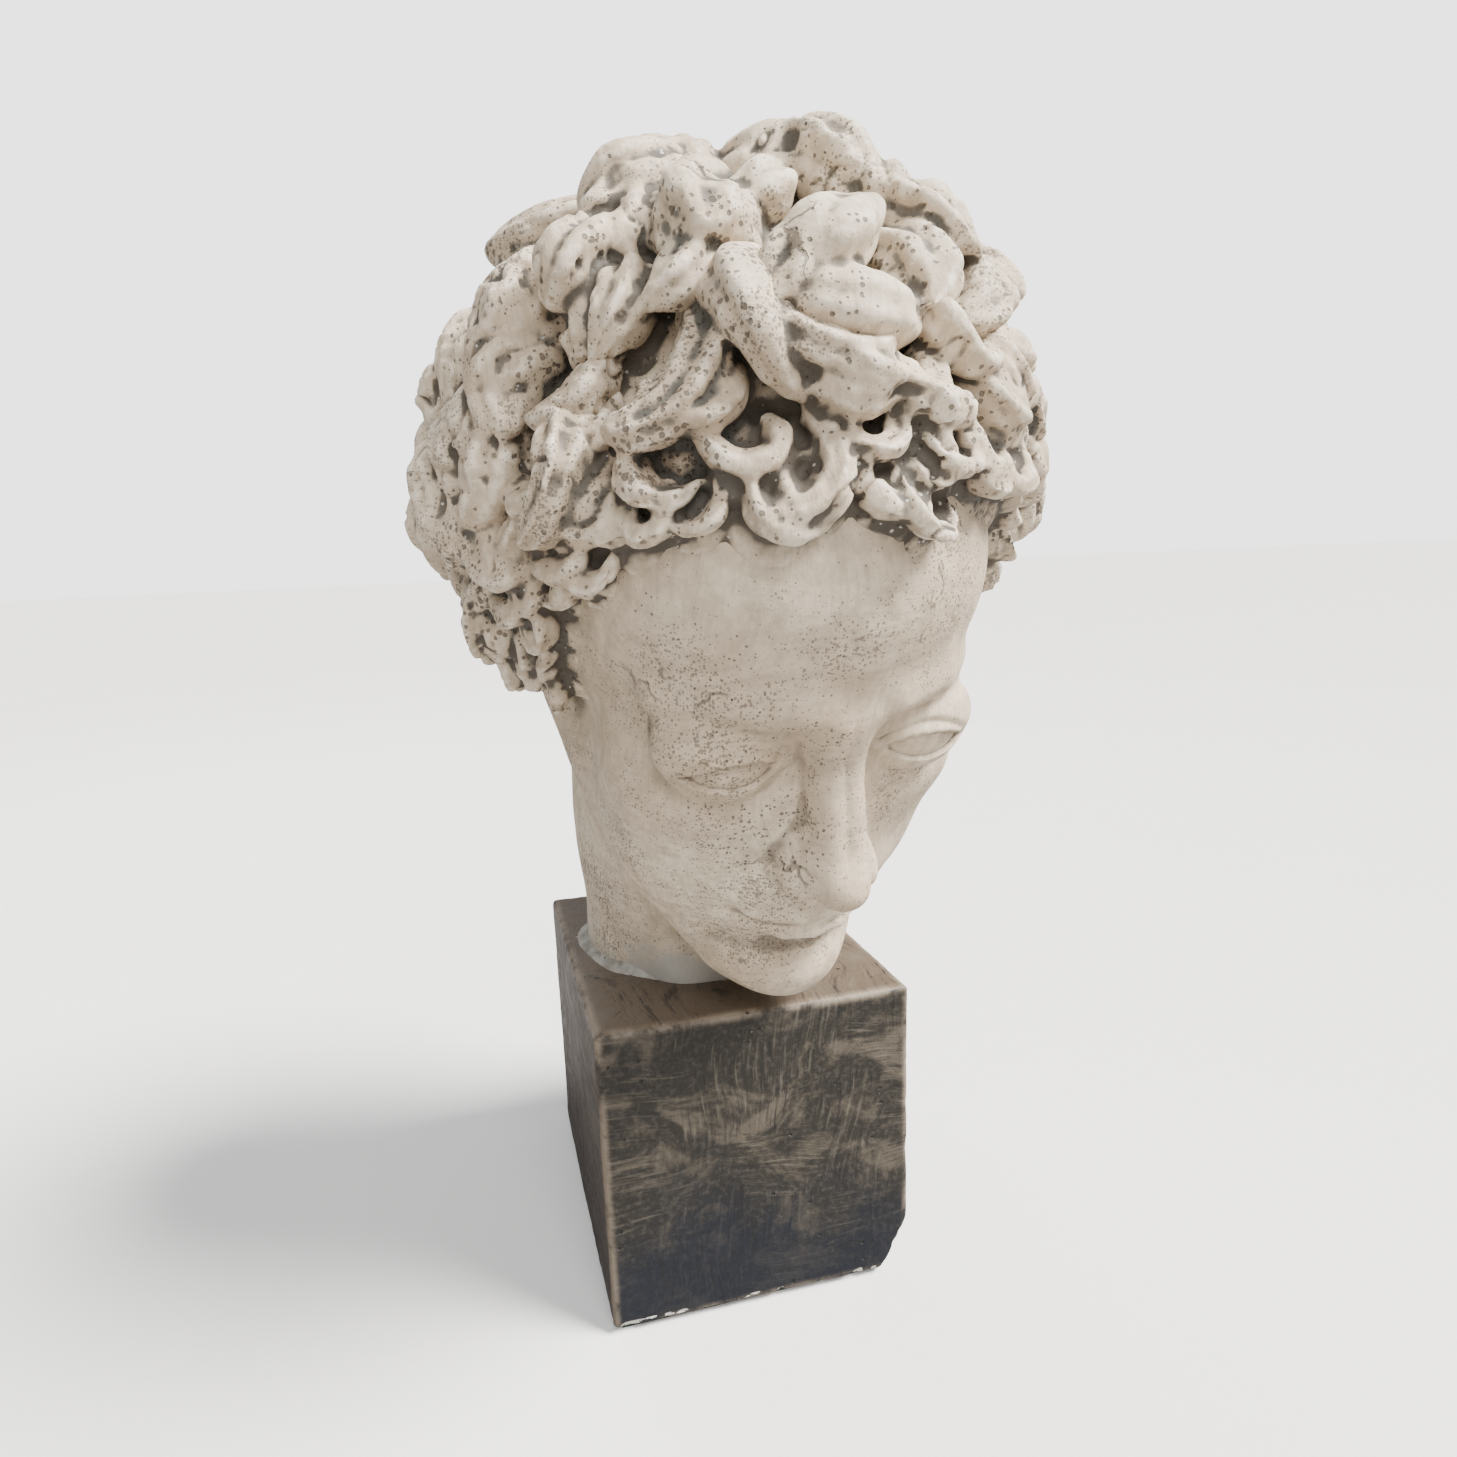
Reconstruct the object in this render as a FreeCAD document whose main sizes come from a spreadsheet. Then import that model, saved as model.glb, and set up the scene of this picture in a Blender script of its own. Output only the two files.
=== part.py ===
"""A plaster portrait head after the antique, bowed forward on a cast block.

The head is a hollow cast: face, ears, neck and a cap of curls are one shell. It stands on a
cast block, and a threaded steel rod with a nut and a washer at each end clamps the two
together. Fresh plaster beds the neck on the block, and felt covers the underside.

Row frame: millimetres, +Z up, the face looks towards -Y, and the origin is the centre of the
underside. The head is built upright in a frame of its own, whose origin is the middle of the
head at the height of the eyes, and is then bowed, turned and lifted onto the block.
"""

import FreeCAD
import Part
import math
import os

import Sketcher
from FreeCAD import Placement, Rotation, Vector

SHEET = "Dims"

# Driving dimensions, in millimetres and degrees.
DIMENSIONS = {
    "block_width": 130,
    "block_depth": 156,
    "block_height": 132,
    "block_edge": 2.5,
    "broken_corner_width": 14,
    "broken_corner_height": 23,
    "felt_thick": 2,
    "felt_inset": 4,
    "neck_foot_radius": 59,
    "neck_top_radius": 66,
    "neck_x": 4,
    "neck_y": 12,
    "wall": 12,
    "head_height": 236,
    "head_x": -1,
    "head_y": -58,
    "head_z": 288,
    "head_bow": 27,
    "head_turn": 4,
    "head_roll": -3,
    "hair_thick": 21,
    "hair_lift": 11,
    "curl_relief": 5,
    "bedding_width": 4,
    "bedding_height": 8,
    "plug_height": 20,
    "rod_radius": 6,
    "rod_clearance": 0.5,
    "rod_tail": 8,
    "washer_radius": 18,
    "washer_thick": 2.5,
    "nut_across_flats": 19,
    "nut_height": 10,
    "recess_radius": 24,
    "recess_depth": 24,
}

# The lumps that block in the upright head, each with its centre and its radii along X, Y and
# Z as shares of the head's height from chin to crown. A paired lump is repeated at -X.
SINGLE_LUMPS = {
    "cranium": ((0, 0.042, 0.118), (0.326, 0.424, 0.382)),
    "forehead": ((0, -0.172, 0.178), (0.262, 0.232, 0.236)),
    "face": ((0, -0.110, -0.134), (0.262, 0.284, 0.366)),
    "jaw": ((0, -0.140, -0.280), (0.224, 0.234, 0.214)),
    "chin": ((0, -0.268, -0.402), (0.116, 0.108, 0.086)),
    "muzzle": ((0, -0.284, -0.262), (0.130, 0.108, 0.110)),
    "upper_lip": ((0, -0.366, -0.266), (0.088, 0.040, 0.024)),
    "lower_lip": ((0, -0.358, -0.304), (0.074, 0.038, 0.027)),
    "nose_tip": ((0, -0.436, -0.172), (0.038, 0.044, 0.034)),
}
PAIRED_LUMPS = {
    "nostril_wing": ((0.048, -0.392, -0.178), (0.032, 0.046, 0.030)),
    "cheek": ((0.150, -0.228, -0.096), (0.098, 0.094, 0.086)),
    "brow": ((0.112, -0.318, 0.062), (0.110, 0.054, 0.030)),
    "eye": ((0.140, -0.312, -0.004), (0.066, 0.058, 0.050)),
    "ear": ((0.292, 0.020, -0.066), (0.042, 0.066, 0.122)),
}

# The nose from its root down to its tip, in shares of the head's height: height, reach of the
# ridge, reach of the base behind it, half width of the ridge and half width of the base.
NOSE_SECTIONS = [
    (0.062, -0.404, -0.290, 0.020, 0.040),
    (-0.010, -0.404, -0.290, 0.020, 0.044),
    (-0.096, -0.438, -0.290, 0.024, 0.054),
    (-0.184, -0.468, -0.290, 0.032, 0.068),
]

# The lower edge of the hair: degrees round the head from the middle of the face, and the
# height there as a share of the head's height.
HAIRLINE = [(0, 0.318), (35, 0.292), (62, 0.150), (80, -0.100), (110, -0.120), (180, -0.330)]
HAIRLINE_ROLL = 0.060
HAIR_ROWS = 15
CURLS_ROUND = 13
POINTS_PER_CURL = 4


def make_sheet(doc):
    """The spreadsheet, with one aliased cell for each driving dimension."""
    sheet = doc.addObject("Spreadsheet::Sheet", SHEET)
    for row, (alias, value) in enumerate(DIMENSIONS.items(), start=1):
        sheet.set(f"A{row}", alias)
        sheet.set(f"B{row}", str(value))
        sheet.setAlias(f"B{row}", alias)
    doc.recompute()
    return sheet


def bind(feature, **formulas):
    """Ties properties to formulas in which [alias] is a cell; in a name, __ stands for a dot."""
    for prop, formula in formulas.items():
        expression = formula.replace("[", f"{SHEET}.").replace("]", "")
        feature.setExpression(prop.replace("__", "."), expression)
    return feature


def move_to(feature, x="0", y="0", z="0"):
    """Binds a feature's position to formulas."""
    return bind(feature, Placement__Base__x=x, Placement__Base__y=y, Placement__Base__z=z)


def origin_plane(body, role):
    """One of a body's own origin planes."""
    return next(f for f in body.Origin.OriginFeatures if f.Role == role)


def new_sketch(body, name, role, height=None):
    """A sketch on one of the body's origin planes, lifted off it by a formula."""
    sketch = body.newObject("Sketcher::SketchObject", name)
    sketch.AttachmentSupport = [(origin_plane(body, role), "")]
    sketch.MapMode = "FlatFace"
    if height:
        bind(sketch, AttachmentOffset__Base__z=height)
    return sketch


def dimension(sketch, kind, *where, formula):
    """Adds a sketch dimension and binds it to a formula."""
    index = sketch.addConstraint(Sketcher.Constraint(kind, *where, 1.0))
    bind(sketch, **{f"Constraints[{index}]": formula})


def add_circle(sketch, radius, x="0", y="0"):
    """A circle whose radius and centre follow formulas."""
    circle = sketch.addGeometry(Part.Circle(Vector(1, 1, 0), Vector(0, 0, 1), 10), False)
    dimension(sketch, "Radius", circle, formula=radius)
    for kind, value, axis in (("DistanceX", x, -2), ("DistanceY", y, -1)):
        if value == "0":
            sketch.addConstraint(Sketcher.Constraint("PointOnObject", circle, 3, axis))
        else:
            dimension(sketch, kind, -1, 1, circle, 3, formula=value)
    return circle


def add_outline(sketch, points):
    """A closed outline of straight lines whose corners are pairs of formulas."""
    rough = [Vector(20 * math.cos(a), 20 * math.sin(a), 0)
             for a in (2 * math.pi * i / len(points) for i in range(len(points)))]
    lines = [sketch.addGeometry(Part.LineSegment(a, b), False)
             for a, b in zip(rough, rough[1:] + rough[:1])]
    for line, after in zip(lines, lines[1:] + lines[:1]):
        sketch.addConstraint(Sketcher.Constraint("Coincident", line, 2, after, 1))
    for line, (x, y) in zip(lines, points):
        dimension(sketch, "DistanceX", -1, 1, line, 1, formula=x)
        dimension(sketch, "DistanceY", -1, 1, line, 1, formula=y)
    return lines


def pad(body, sketch, length):
    """A pad of the sketch, as long as the formula says."""
    feature = body.newObject("PartDesign::Pad", f"{sketch.Name}_pad")
    feature.Profile = sketch
    return bind(feature, Length=length)


def pocket(body, sketch, length, upwards=True):
    """A pocket of the sketch, cut upwards or downwards from its plane."""
    feature = body.newObject("PartDesign::Pocket", f"{sketch.Name}_pocket")
    feature.Profile = sketch
    feature.Reversed = upwards
    return bind(feature, Length=length)


def new_body(doc, label):
    """A PartDesign body with a label that names its file."""
    body = doc.addObject("PartDesign::Body", label)
    body.Label = label
    return body


def plinth_block(doc):
    """The cast block: eased edges, a bore for the rod, a recess under it and a broken corner."""
    body = new_body(doc, "plinth_block")
    half_x, half_y = "[block_width] / 2", "[block_depth] / 2"
    plan = new_sketch(body, "block_plan", "XY_Plane")
    add_outline(plan, [(f"-{half_x}", f"-{half_y}"), (half_x, f"-{half_y}"),
                       (half_x, half_y), (f"-{half_x}", half_y)])
    pad(body, plan, "[block_height] - [felt_thick]")
    bore = new_sketch(body, "rod_bore", "XY_Plane")
    add_circle(bore, "[rod_radius] + [rod_clearance]", "[neck_x]", "[neck_y]")
    pocket(body, bore, "[block_height]")
    recess = new_sketch(body, "nut_recess", "XY_Plane")
    add_circle(recess, "[recess_radius]", "[neck_x]", "[neck_y]")
    last = pocket(body, recess, "[recess_depth]")
    doc.recompute()
    eased = body.newObject("PartDesign::Fillet", "eased_edges")
    eased.Base = (last, outer_edges(last.Shape))
    bind(eased, Radius="[block_edge]")
    move_to(body, z="[felt_thick]")
    return break_corner(doc, body)


def outer_edges(shape):
    """Names of the straight edges of a block that join two of its outer corners."""
    return [f"Edge{i}" for i, edge in enumerate(shape.Edges, start=1)
            if edge.Curve.TypeId == "Part::GeomLine" and edge.Length > 50
            and not any(f.Surface.TypeId == "Part::GeomCylinder" for f in
                        shape.ancestorsOfType(edge, Part.Face))]


def break_corner(doc, block):
    """Takes the lower right front corner off the block with a tilted tool."""
    block.Label = "whole_block"
    tool = doc.addObject("Part::Box", "corner_break")
    size = "4 * [broken_corner_height]"
    bind(tool, Length=size, Width=size, Height=size)
    dims = doc.getObject(SHEET)
    across, up = dims.broken_corner_width, dims.broken_corner_height
    face = Vector(1 / across, -1 / up, -1 / up).normalize()
    turn = Rotation(Vector(0, 0, 1), face)
    corner = Vector(dims.block_width / 2, -dims.block_depth / 2, dims.felt_thick)
    on_face = corner - Vector(across, 0, 0)
    side = tool.Height
    half = Vector(-2 * up, -2 * up, 0)
    tool.Placement = Placement(on_face, turn).multiply(Placement(half, Rotation()))
    broken = doc.addObject("Part::Cut", "plinth_block_cut")
    broken.Base = block
    broken.Tool = tool
    broken.Label = "plinth_block"
    return broken


def lump(doc, name, centre, radii, grow="0"):
    """An ellipsoid sized in shares of the head's height, grown by a formula in millimetres."""
    feature = doc.addObject("Part::Ellipsoid", name)
    across, along, up = radii
    bind(feature, Radius1=f"{up} * [head_height] + {grow}",
         Radius2=f"{across} * [head_height] + {grow}",
         Radius3=f"{along} * [head_height] + {grow}")
    return move_to(feature, *(f"{share} * [head_height]" for share in centre))


def head_lumps(doc):
    """Every lump of the upright head, with the paired ones on both sides."""
    made = [lump(doc, name, centre, radii) for name, (centre, radii) in SINGLE_LUMPS.items()]
    for name, ((x, y, z), radii) in PAIRED_LUMPS.items():
        made.append(lump(doc, f"left_{name}", (-x, y, z), radii))
        made.append(lump(doc, f"right_{name}", (x, y, z), radii))
    return made


def nose(doc):
    """The nose: a straight ridge lofted from its root between the brows down to its tip."""
    height = doc.getObject(SHEET).head_height
    wires = []
    for z, ridge, base, top, foot in NOSE_SECTIONS:
        corners = [(-foot, base), (foot, base), (top, ridge), (-top, ridge)]
        points = [Vector(x, y, z) * height for x, y in corners]
        wires.append(Part.makePolygon(points + points[:1]))
    feature = doc.addObject("Part::Feature", "nose")
    feature.Shape = Part.makeLoft(wires, True, True)
    return feature


def between(table, angle):
    """The value in a table of (angle, value) at an angle, eased from one entry to the next."""
    for (a, low), (b, high) in zip(table, table[1:]):
        if a <= angle <= b:
            t = (angle - a) / (b - a)
            return low + (high - low) * t * t * (3 - 2 * t)
    return table[-1][1]


def hair_section(dims, z, row):
    """A closed wavy outline of the curls at one height of the upright head.

    It follows the cranium grown by the hair's thickness, swells and sinks once for each curl,
    is staggered from row to row, and draws in under the face below the hairline."""
    height = dims.head_height
    (_, mid_y, mid_z), (across, along, up) = SINGLE_LUMPS["cranium"]
    grown = [share * height + dims.hair_thick for share in (across, along, up)]
    rise = (z - mid_z * height - dims.hair_lift) / grown[2]
    level = math.sqrt(max(0.0, 1 - rise ** 2)) if rise > 0 else 1 - 0.45 * rise ** 2
    count = CURLS_ROUND * POINTS_PER_CURL
    points = []
    for i in range(count):
        turn = 360 * i / count
        from_face = min(turn, 360 - turn)
        edge = between(HAIRLINE, from_face) * height
        shown = min(1.0, max(0.0, (z - edge) / (HAIRLINE_ROLL * height) + 0.5))
        phase = turn * CURLS_ROUND + 180 * (row % 2)
        wave = dims.curl_relief * math.cos(math.radians(phase))
        sunk = (1 - shown) * (dims.hair_thick + 0.06 * height)
        x = math.sin(math.radians(turn)) * (grown[0] * level + wave * level - sunk)
        y = -math.cos(math.radians(turn)) * (grown[1] * level + wave * level - sunk)
        points.append(Vector(x, y + mid_y * height, z))
    curve = Part.BSplineCurve()
    curve.interpolate(Points=points, PeriodicFlag=True)
    return Part.Wire([curve.toShape()])


def hair(doc):
    """The cap of curls, lofted through wavy outlines from the nape to the crown."""
    dims = doc.getObject(SHEET)
    low = HAIRLINE[-1][1] * dims.head_height
    (_, _, mid_z), (_, _, up) = SINGLE_LUMPS["cranium"]
    high = (mid_z + up) * dims.head_height + dims.hair_thick + dims.hair_lift - 1.5
    wires = []
    for row in range(HAIR_ROWS):
        share = row / (HAIR_ROWS - 1)
        z = low + (high - low) * math.sin(share * math.pi / 2) ** 0.9
        wires.append(hair_section(dims, z, row))
    feature = doc.addObject("Part::Feature", "hair")
    feature.Shape = Part.makeLoft(wires, True, True)
    return feature


def set_on_block(feature):
    """Bows, leans, turns and lifts something built in the head's frame onto the block."""
    dims = feature.Document.getObject(SHEET)
    bow = Rotation(Vector(1, 0, 0), dims.head_bow)
    lean = Rotation(Vector(0, 1, 0), dims.head_roll)
    turn = Rotation(Vector(0, 0, 1), dims.head_turn)
    at = Vector(dims.head_x, dims.head_y, dims.head_z)
    feature.Placement = Placement(at, turn.multiply(lean).multiply(bow))
    return feature


def neck_loft(doc, name, inset):
    """The neck from its round foot on the block to the base of the skull, drawn in by inset."""
    dims = doc.getObject(SHEET)
    foot = doc.addObject("Part::Circle", f"{name}_foot")
    bind(foot, Radius=f"[neck_foot_radius] - {inset}")
    move_to(foot, "[neck_x]", "[neck_y]", "[block_height]")
    top = doc.addObject("Part::Circle", f"{name}_top")
    bind(top, Radius=f"[neck_top_radius] - {inset}")
    upright = Placement(Vector(0, 0.03 * dims.head_height, -0.10 * dims.head_height), Rotation())
    set_on_block(top)
    top.Placement = top.Placement.multiply(upright)
    loft = doc.addObject("Part::Loft", name)
    loft.Sections = [foot, top]
    loft.Solid = True
    return loft


def fuse(doc, name, solids):
    """One solid, made by fusing the given ones one after another."""
    whole = solids[0]
    for count, solid in enumerate(solids[1:], start=1):
        joined = doc.addObject("Part::Fuse", f"{name}_{count}")
        joined.Base = whole
        joined.Tool = solid
        whole = joined
    return whole


def cut(doc, label, base, tool):
    """The base less the tool."""
    feature = doc.addObject("Part::Cut", label)
    feature.Base = base
    feature.Tool = tool
    feature.Label = label
    return feature


def cylinder(doc, name, radius, height, z):
    """A cylinder on the rod's axis, standing at height z."""
    feature = doc.addObject("Part::Cylinder", name)
    bind(feature, Radius=radius, Height=height)
    return move_to(feature, "[neck_x]", "[neck_y]", z)


def head_form(doc):
    """The solid outer form of head, hair and neck."""
    bare = fuse(doc, "bare_head", [*head_lumps(doc), nose(doc), hair(doc)])
    return fuse(doc, "outer_form", [set_on_block(bare), neck_loft(doc, "neck", "0")])


def head_cast(doc):
    """The hollow cast of the head: the outer form, less a cavity one wall inside it."""
    skull = lump(doc, "skull_cavity", *SINGLE_LUMPS["cranium"], grow="-[wall]")
    face = lump(doc, "face_cavity", *SINGLE_LUMPS["face"], grow="-1.4 * [wall]")
    hollow = set_on_block(fuse(doc, "head_cavity", [skull, face]))
    cavity = fuse(doc, "cavity", [hollow, neck_loft(doc, "neck_cavity", "[wall]")])
    return cut(doc, "head_cast", head_form(doc), cavity)


def neck_plug(doc):
    """Plaster poured into the foot of the hollow neck, with a hole for the rod."""
    slab = cylinder(doc, "plug_slab", "[neck_foot_radius]", "[plug_height]", "[block_height]")
    poured = doc.addObject("Part::Common", "poured_plug")
    poured.Base = neck_loft(doc, "plug_mould", "[wall]")
    poured.Tool = slab
    hole = cylinder(doc, "plug_hole", "[rod_radius] + [rod_clearance]", "3 * [plug_height]",
                    "[block_height] - [plug_height]")
    return cut(doc, "neck_plug", poured, hole)


def bedding_fillet(doc):
    """A sloping ring of plaster that beds the foot of the neck on the block."""
    ring = doc.addObject("Part::Cone", "bedding_cone")
    bind(ring, Radius1="[neck_foot_radius] + [bedding_width]", Radius2="[neck_foot_radius] + 1",
         Height="[bedding_height]")
    move_to(ring, "[neck_x]", "[neck_y]", "[block_height]")
    return cut(doc, "bedding_fillet", ring, neck_loft(doc, "bedded_neck", "0"))


def armature_rod(doc):
    """The threaded rod from below the lower nut to above the upper one."""
    low = "[felt_thick] + [recess_depth] - [washer_thick] - [nut_height] - [rod_tail]"
    high = "[block_height] + [plug_height] + [washer_thick] + [nut_height] + [rod_tail]"
    body = new_body(doc, "armature_rod")
    section = new_sketch(body, "rod_section", "XY_Plane")
    add_circle(section, "[rod_radius]")
    rod = pad(body, section, f"({high}) - ({low})")
    doc.recompute()
    ends = body.newObject("PartDesign::Chamfer", "rod_ends")
    ends.Base = (rod, [f"Edge{i}" for i, edge in enumerate(rod.Shape.Edges, start=1)
                       if edge.Curve.TypeId == "Part::GeomCircle"])
    bind(ends, Size="[rod_radius] / 5")
    return move_to(body, "[neck_x]", "[neck_y]", low)


def washer(doc, label, z):
    """A plain washer on the rod, lying at height z."""
    body = new_body(doc, label)
    plan = new_sketch(body, f"{label}_plan", "XY_Plane")
    add_circle(plan, "[washer_radius]")
    add_circle(plan, "[rod_radius] + [rod_clearance]")
    pad(body, plan, "[washer_thick]")
    return move_to(body, "[neck_x]", "[neck_y]", z)


def nut(doc, label, z):
    """A hexagon nut on the rod, its bore drawn to the rod's radius."""
    body = new_body(doc, label)
    plan = new_sketch(body, f"{label}_plan", "XY_Plane")
    corners = [(f"[nut_across_flats] / sqrt(3) * cos({60 * i} deg)",
                f"[nut_across_flats] / sqrt(3) * sin({60 * i} deg)") for i in range(6)]
    add_outline(plan, corners)
    add_circle(plan, "[rod_radius]")
    pad(body, plan, "[nut_height]")
    return move_to(body, "[neck_x]", "[neck_y]", z)


def base_felt(doc):
    """Felt under the block, clear of the recess and of the broken corner."""
    body = new_body(doc, "base_felt")
    plan = new_sketch(body, "felt_plan", "XY_Plane")
    x, y = "[block_width] / 2 - [felt_inset]", "[block_depth] / 2 - [felt_inset]"
    add_outline(plan, [(f"-({x})", f"-({y})"), (f"{x} - [broken_corner_width]", f"-({y})"),
                       (x, f"[broken_corner_height] - ({y})"), (x, y), (f"-({x})", y)])
    add_circle(plan, "[recess_radius]", "[neck_x]", "[neck_y]")
    pad(body, plan, "[felt_thick]")
    return body


def fixings(doc):
    """The rod and the nut and washer at each of its ends."""
    ceiling = "[felt_thick] + [recess_depth]"
    floor = "[block_height] + [plug_height]"
    return [
        armature_rod(doc),
        washer(doc, "upper_washer", floor),
        nut(doc, "upper_nut", f"{floor} + [washer_thick]"),
        washer(doc, "lower_washer", f"{ceiling} - [washer_thick]"),
        nut(doc, "lower_nut", f"{ceiling} - [washer_thick] - [nut_height]"),
    ]


def export(nodes):
    """Writes one STEP file for each sub-part once its solid has been checked."""
    os.makedirs("parts", exist_ok=True)
    for node in nodes:
        shape = node.Shape
        if shape.isNull() or not shape.isValid() or len(shape.Solids) != 1:
            raise RuntimeError(f"{node.Label} is not one valid solid")
        shape.exportStep(f"parts/{node.Label}.step")
        print(f"{node.Label}: {len(shape.Faces)} faces, {shape.Volume / 1000:.1f} cm3")


def main():
    doc = FreeCAD.newDocument("bust")
    make_sheet(doc)
    nodes = [plinth_block(doc), base_felt(doc), *fixings(doc), neck_plug(doc),
             bedding_fillet(doc), head_cast(doc)]
    doc.recompute()
    failed = [o.Label for o in doc.Objects if {"Invalid", "Error"} & set(o.State)]
    if failed:
        raise RuntimeError(f"these objects failed: {failed}")
    export(nodes)


main()
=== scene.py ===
"""A plaster head with a cap of curls, bowed on a dark cast block.

Every shape is worked out with numpy in the row frame, in metres. The head and neck are lumps
of clay, given as distances, that a fan of rays finds the outside of. The hair is locks, each a
grooved profile carried along a curling path over the skull. The block is one profile carried
round its plan. Wear, pits, the dark wash with painted shade in the hollows and the cream rub
with painted highlight on the ridges are worked out on the finished surfaces and handed to the
materials as attributes.
"""

import math

import bpy
import numpy as np
from mathutils import Matrix, Vector


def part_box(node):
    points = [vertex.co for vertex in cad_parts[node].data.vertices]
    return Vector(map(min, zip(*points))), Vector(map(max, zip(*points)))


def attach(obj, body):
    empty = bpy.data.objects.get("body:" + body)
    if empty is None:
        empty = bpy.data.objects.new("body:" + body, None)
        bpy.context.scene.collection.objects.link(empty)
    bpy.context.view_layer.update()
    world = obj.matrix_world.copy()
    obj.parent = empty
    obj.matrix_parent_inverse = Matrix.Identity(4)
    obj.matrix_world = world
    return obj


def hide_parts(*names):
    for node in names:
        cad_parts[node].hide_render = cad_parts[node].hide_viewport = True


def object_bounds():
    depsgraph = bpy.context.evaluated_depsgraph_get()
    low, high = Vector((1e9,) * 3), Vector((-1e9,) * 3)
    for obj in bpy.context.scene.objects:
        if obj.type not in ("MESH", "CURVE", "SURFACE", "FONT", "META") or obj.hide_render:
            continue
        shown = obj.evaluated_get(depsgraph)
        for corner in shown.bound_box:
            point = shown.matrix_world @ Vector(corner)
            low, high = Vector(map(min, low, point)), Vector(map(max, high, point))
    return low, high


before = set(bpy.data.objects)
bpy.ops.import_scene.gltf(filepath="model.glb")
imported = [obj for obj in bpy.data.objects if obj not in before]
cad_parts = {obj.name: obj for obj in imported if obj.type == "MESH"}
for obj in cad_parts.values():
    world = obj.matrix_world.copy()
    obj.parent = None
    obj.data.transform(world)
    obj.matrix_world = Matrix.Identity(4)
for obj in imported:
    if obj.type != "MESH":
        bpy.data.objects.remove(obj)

CAD_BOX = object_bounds()
MM = 0.001

# The head's own frame: its origin is level with the eyes in the middle of the head, it looks
# along -Y, and sizes in it are millimetres. The head is then bowed, leant and turned.
HEAD_AT = np.array([-1.0, -58.0, 288.0])
HEAD_BOW = 27.0
HEAD_LEAN = -3.0
HEAD_TURN = 4.0

# The corners of the CAD pieces that the new ones are built round, in millimetres.
BLOCK_LOW, BLOCK_HIGH = (np.array(corner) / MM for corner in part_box("plinth_block"))
ROD_LOW, ROD_HIGH = (np.array(corner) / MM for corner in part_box("armature_rod"))
BEDDING_LOW, BEDDING_HIGH = (np.array(corner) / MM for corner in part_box("bedding_fillet"))
ROD_AXIS = (ROD_LOW + ROD_HIGH)[:2] / 2
NECK_FOOT = (BEDDING_LOW + BEDDING_HIGH)[:2] / 2
BEDDING_WIDTH = 4.0
NECK_FOOT_RADIUS = (BEDDING_HIGH - BEDDING_LOW)[0] / 2 - BEDDING_WIDTH
BLOCK_TOP = BLOCK_HIGH[2]


# ---------------------------------------------------------------- turning between frames

def turning(axis, degrees):
    """The 3 by 3 rotation about a row axis."""
    return np.array(Matrix.Rotation(math.radians(degrees), 3, axis))


HEAD_ROTATION = turning("Z", HEAD_TURN) @ turning("Y", HEAD_LEAN) @ turning("X", HEAD_BOW)


def to_row(points):
    """Points of the head's frame carried to the row frame, both in millimetres."""
    return points @ HEAD_ROTATION.T + HEAD_AT


def to_head(points):
    """Points of the row frame carried to the head's frame, both in millimetres."""
    return (points - HEAD_AT) @ HEAD_ROTATION


# ---------------------------------------------------------------- small formulas

def smoothstep(low, high, value):
    """Eases from 0 at low to 1 at high."""
    t = np.clip((value - low) / (high - low), 0.0, 1.0)
    return t * t * (3.0 - 2.0 * t)


def mix(a, b, share):
    """A straight blend from a to b."""
    return a + (b - a) * share


def unit(vectors):
    """Vectors scaled to length one."""
    return vectors / np.maximum(np.linalg.norm(vectors, axis=-1, keepdims=True), 1e-9)


def clustered(count, focus, strength):
    """Count shares from 0 to 1 that crowd around focus: the running total of a spacing that is
    narrowest there."""
    where = (np.arange(count - 1) + 0.5) / (count - 1)
    gaps = 1.0 + strength * np.minimum(1.0, np.abs(where - focus) * 2.0) ** 2
    return np.concatenate([[0.0], np.cumsum(gaps)]) / gaps.sum()


# A lattice corner's place in the table of random values: its three whole numbers, each times a
# large prime, put together bit by bit.
TABLE_SIZE = 4096
PRIMES = (73856093, 19349663, 83492791)


def lattice_noise(points, size, seed):
    """Smooth noise from -1 to 1: random values on a lattice of the given cell size, blended
    between the eight corners of each point's cell."""
    table = np.random.default_rng(seed).uniform(-1.0, 1.0, TABLE_SIZE)
    cell = np.floor(points / size).astype(np.int64)
    part = points / size - cell
    part = part * part * (3.0 - 2.0 * part)
    total = np.zeros(points.shape[:-1])
    for dx in (0, 1):
        for dy in (0, 1):
            for dz in (0, 1):
                x, y, z = np.moveaxis((cell + (dx, dy, dz)) * PRIMES, -1, 0)
                key = (x ^ y ^ z) & (TABLE_SIZE - 1)
                weight = ((part[..., 0] if dx else 1 - part[..., 0])
                          * (part[..., 1] if dy else 1 - part[..., 1])
                          * (part[..., 2] if dz else 1 - part[..., 2]))
                total += table[key] * weight
    return total


def cloudy(points, size, seed, octaves=3):
    """Lattice noise summed over octaves, each half the size and half the strength."""
    return sum(lattice_noise(points, size / 2 ** k, seed + k) * 0.5 ** k for k in range(octaves))


# ---------------------------------------------------------------- clay lumps as distances

def egg(p, centre, radii):
    """About how far p is outside an ellipsoid: its scaled length less one, over the slope."""
    radii = np.array(radii, dtype=np.float32)
    q = (p - centre) / radii
    k = np.sqrt((q * q).sum(-1))
    slope = np.sqrt(((q / radii) ** 2).sum(-1))
    return k * (k - 1.0) / np.maximum(slope, 1e-6)


def roll(p, start, end, thick_start, thick_end):
    """How far p is outside a roll of clay from start to end, its radius changing evenly."""
    start, end = np.array(start, dtype=np.float32), np.array(end, dtype=np.float32)
    along = end - start
    share = np.clip(((p - start) @ along) / (along @ along), 0.0, 1.0)
    gap = p - start - share[..., None] * along
    return np.sqrt((gap * gap).sum(-1)) - mix(thick_start, thick_end, share)


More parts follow.
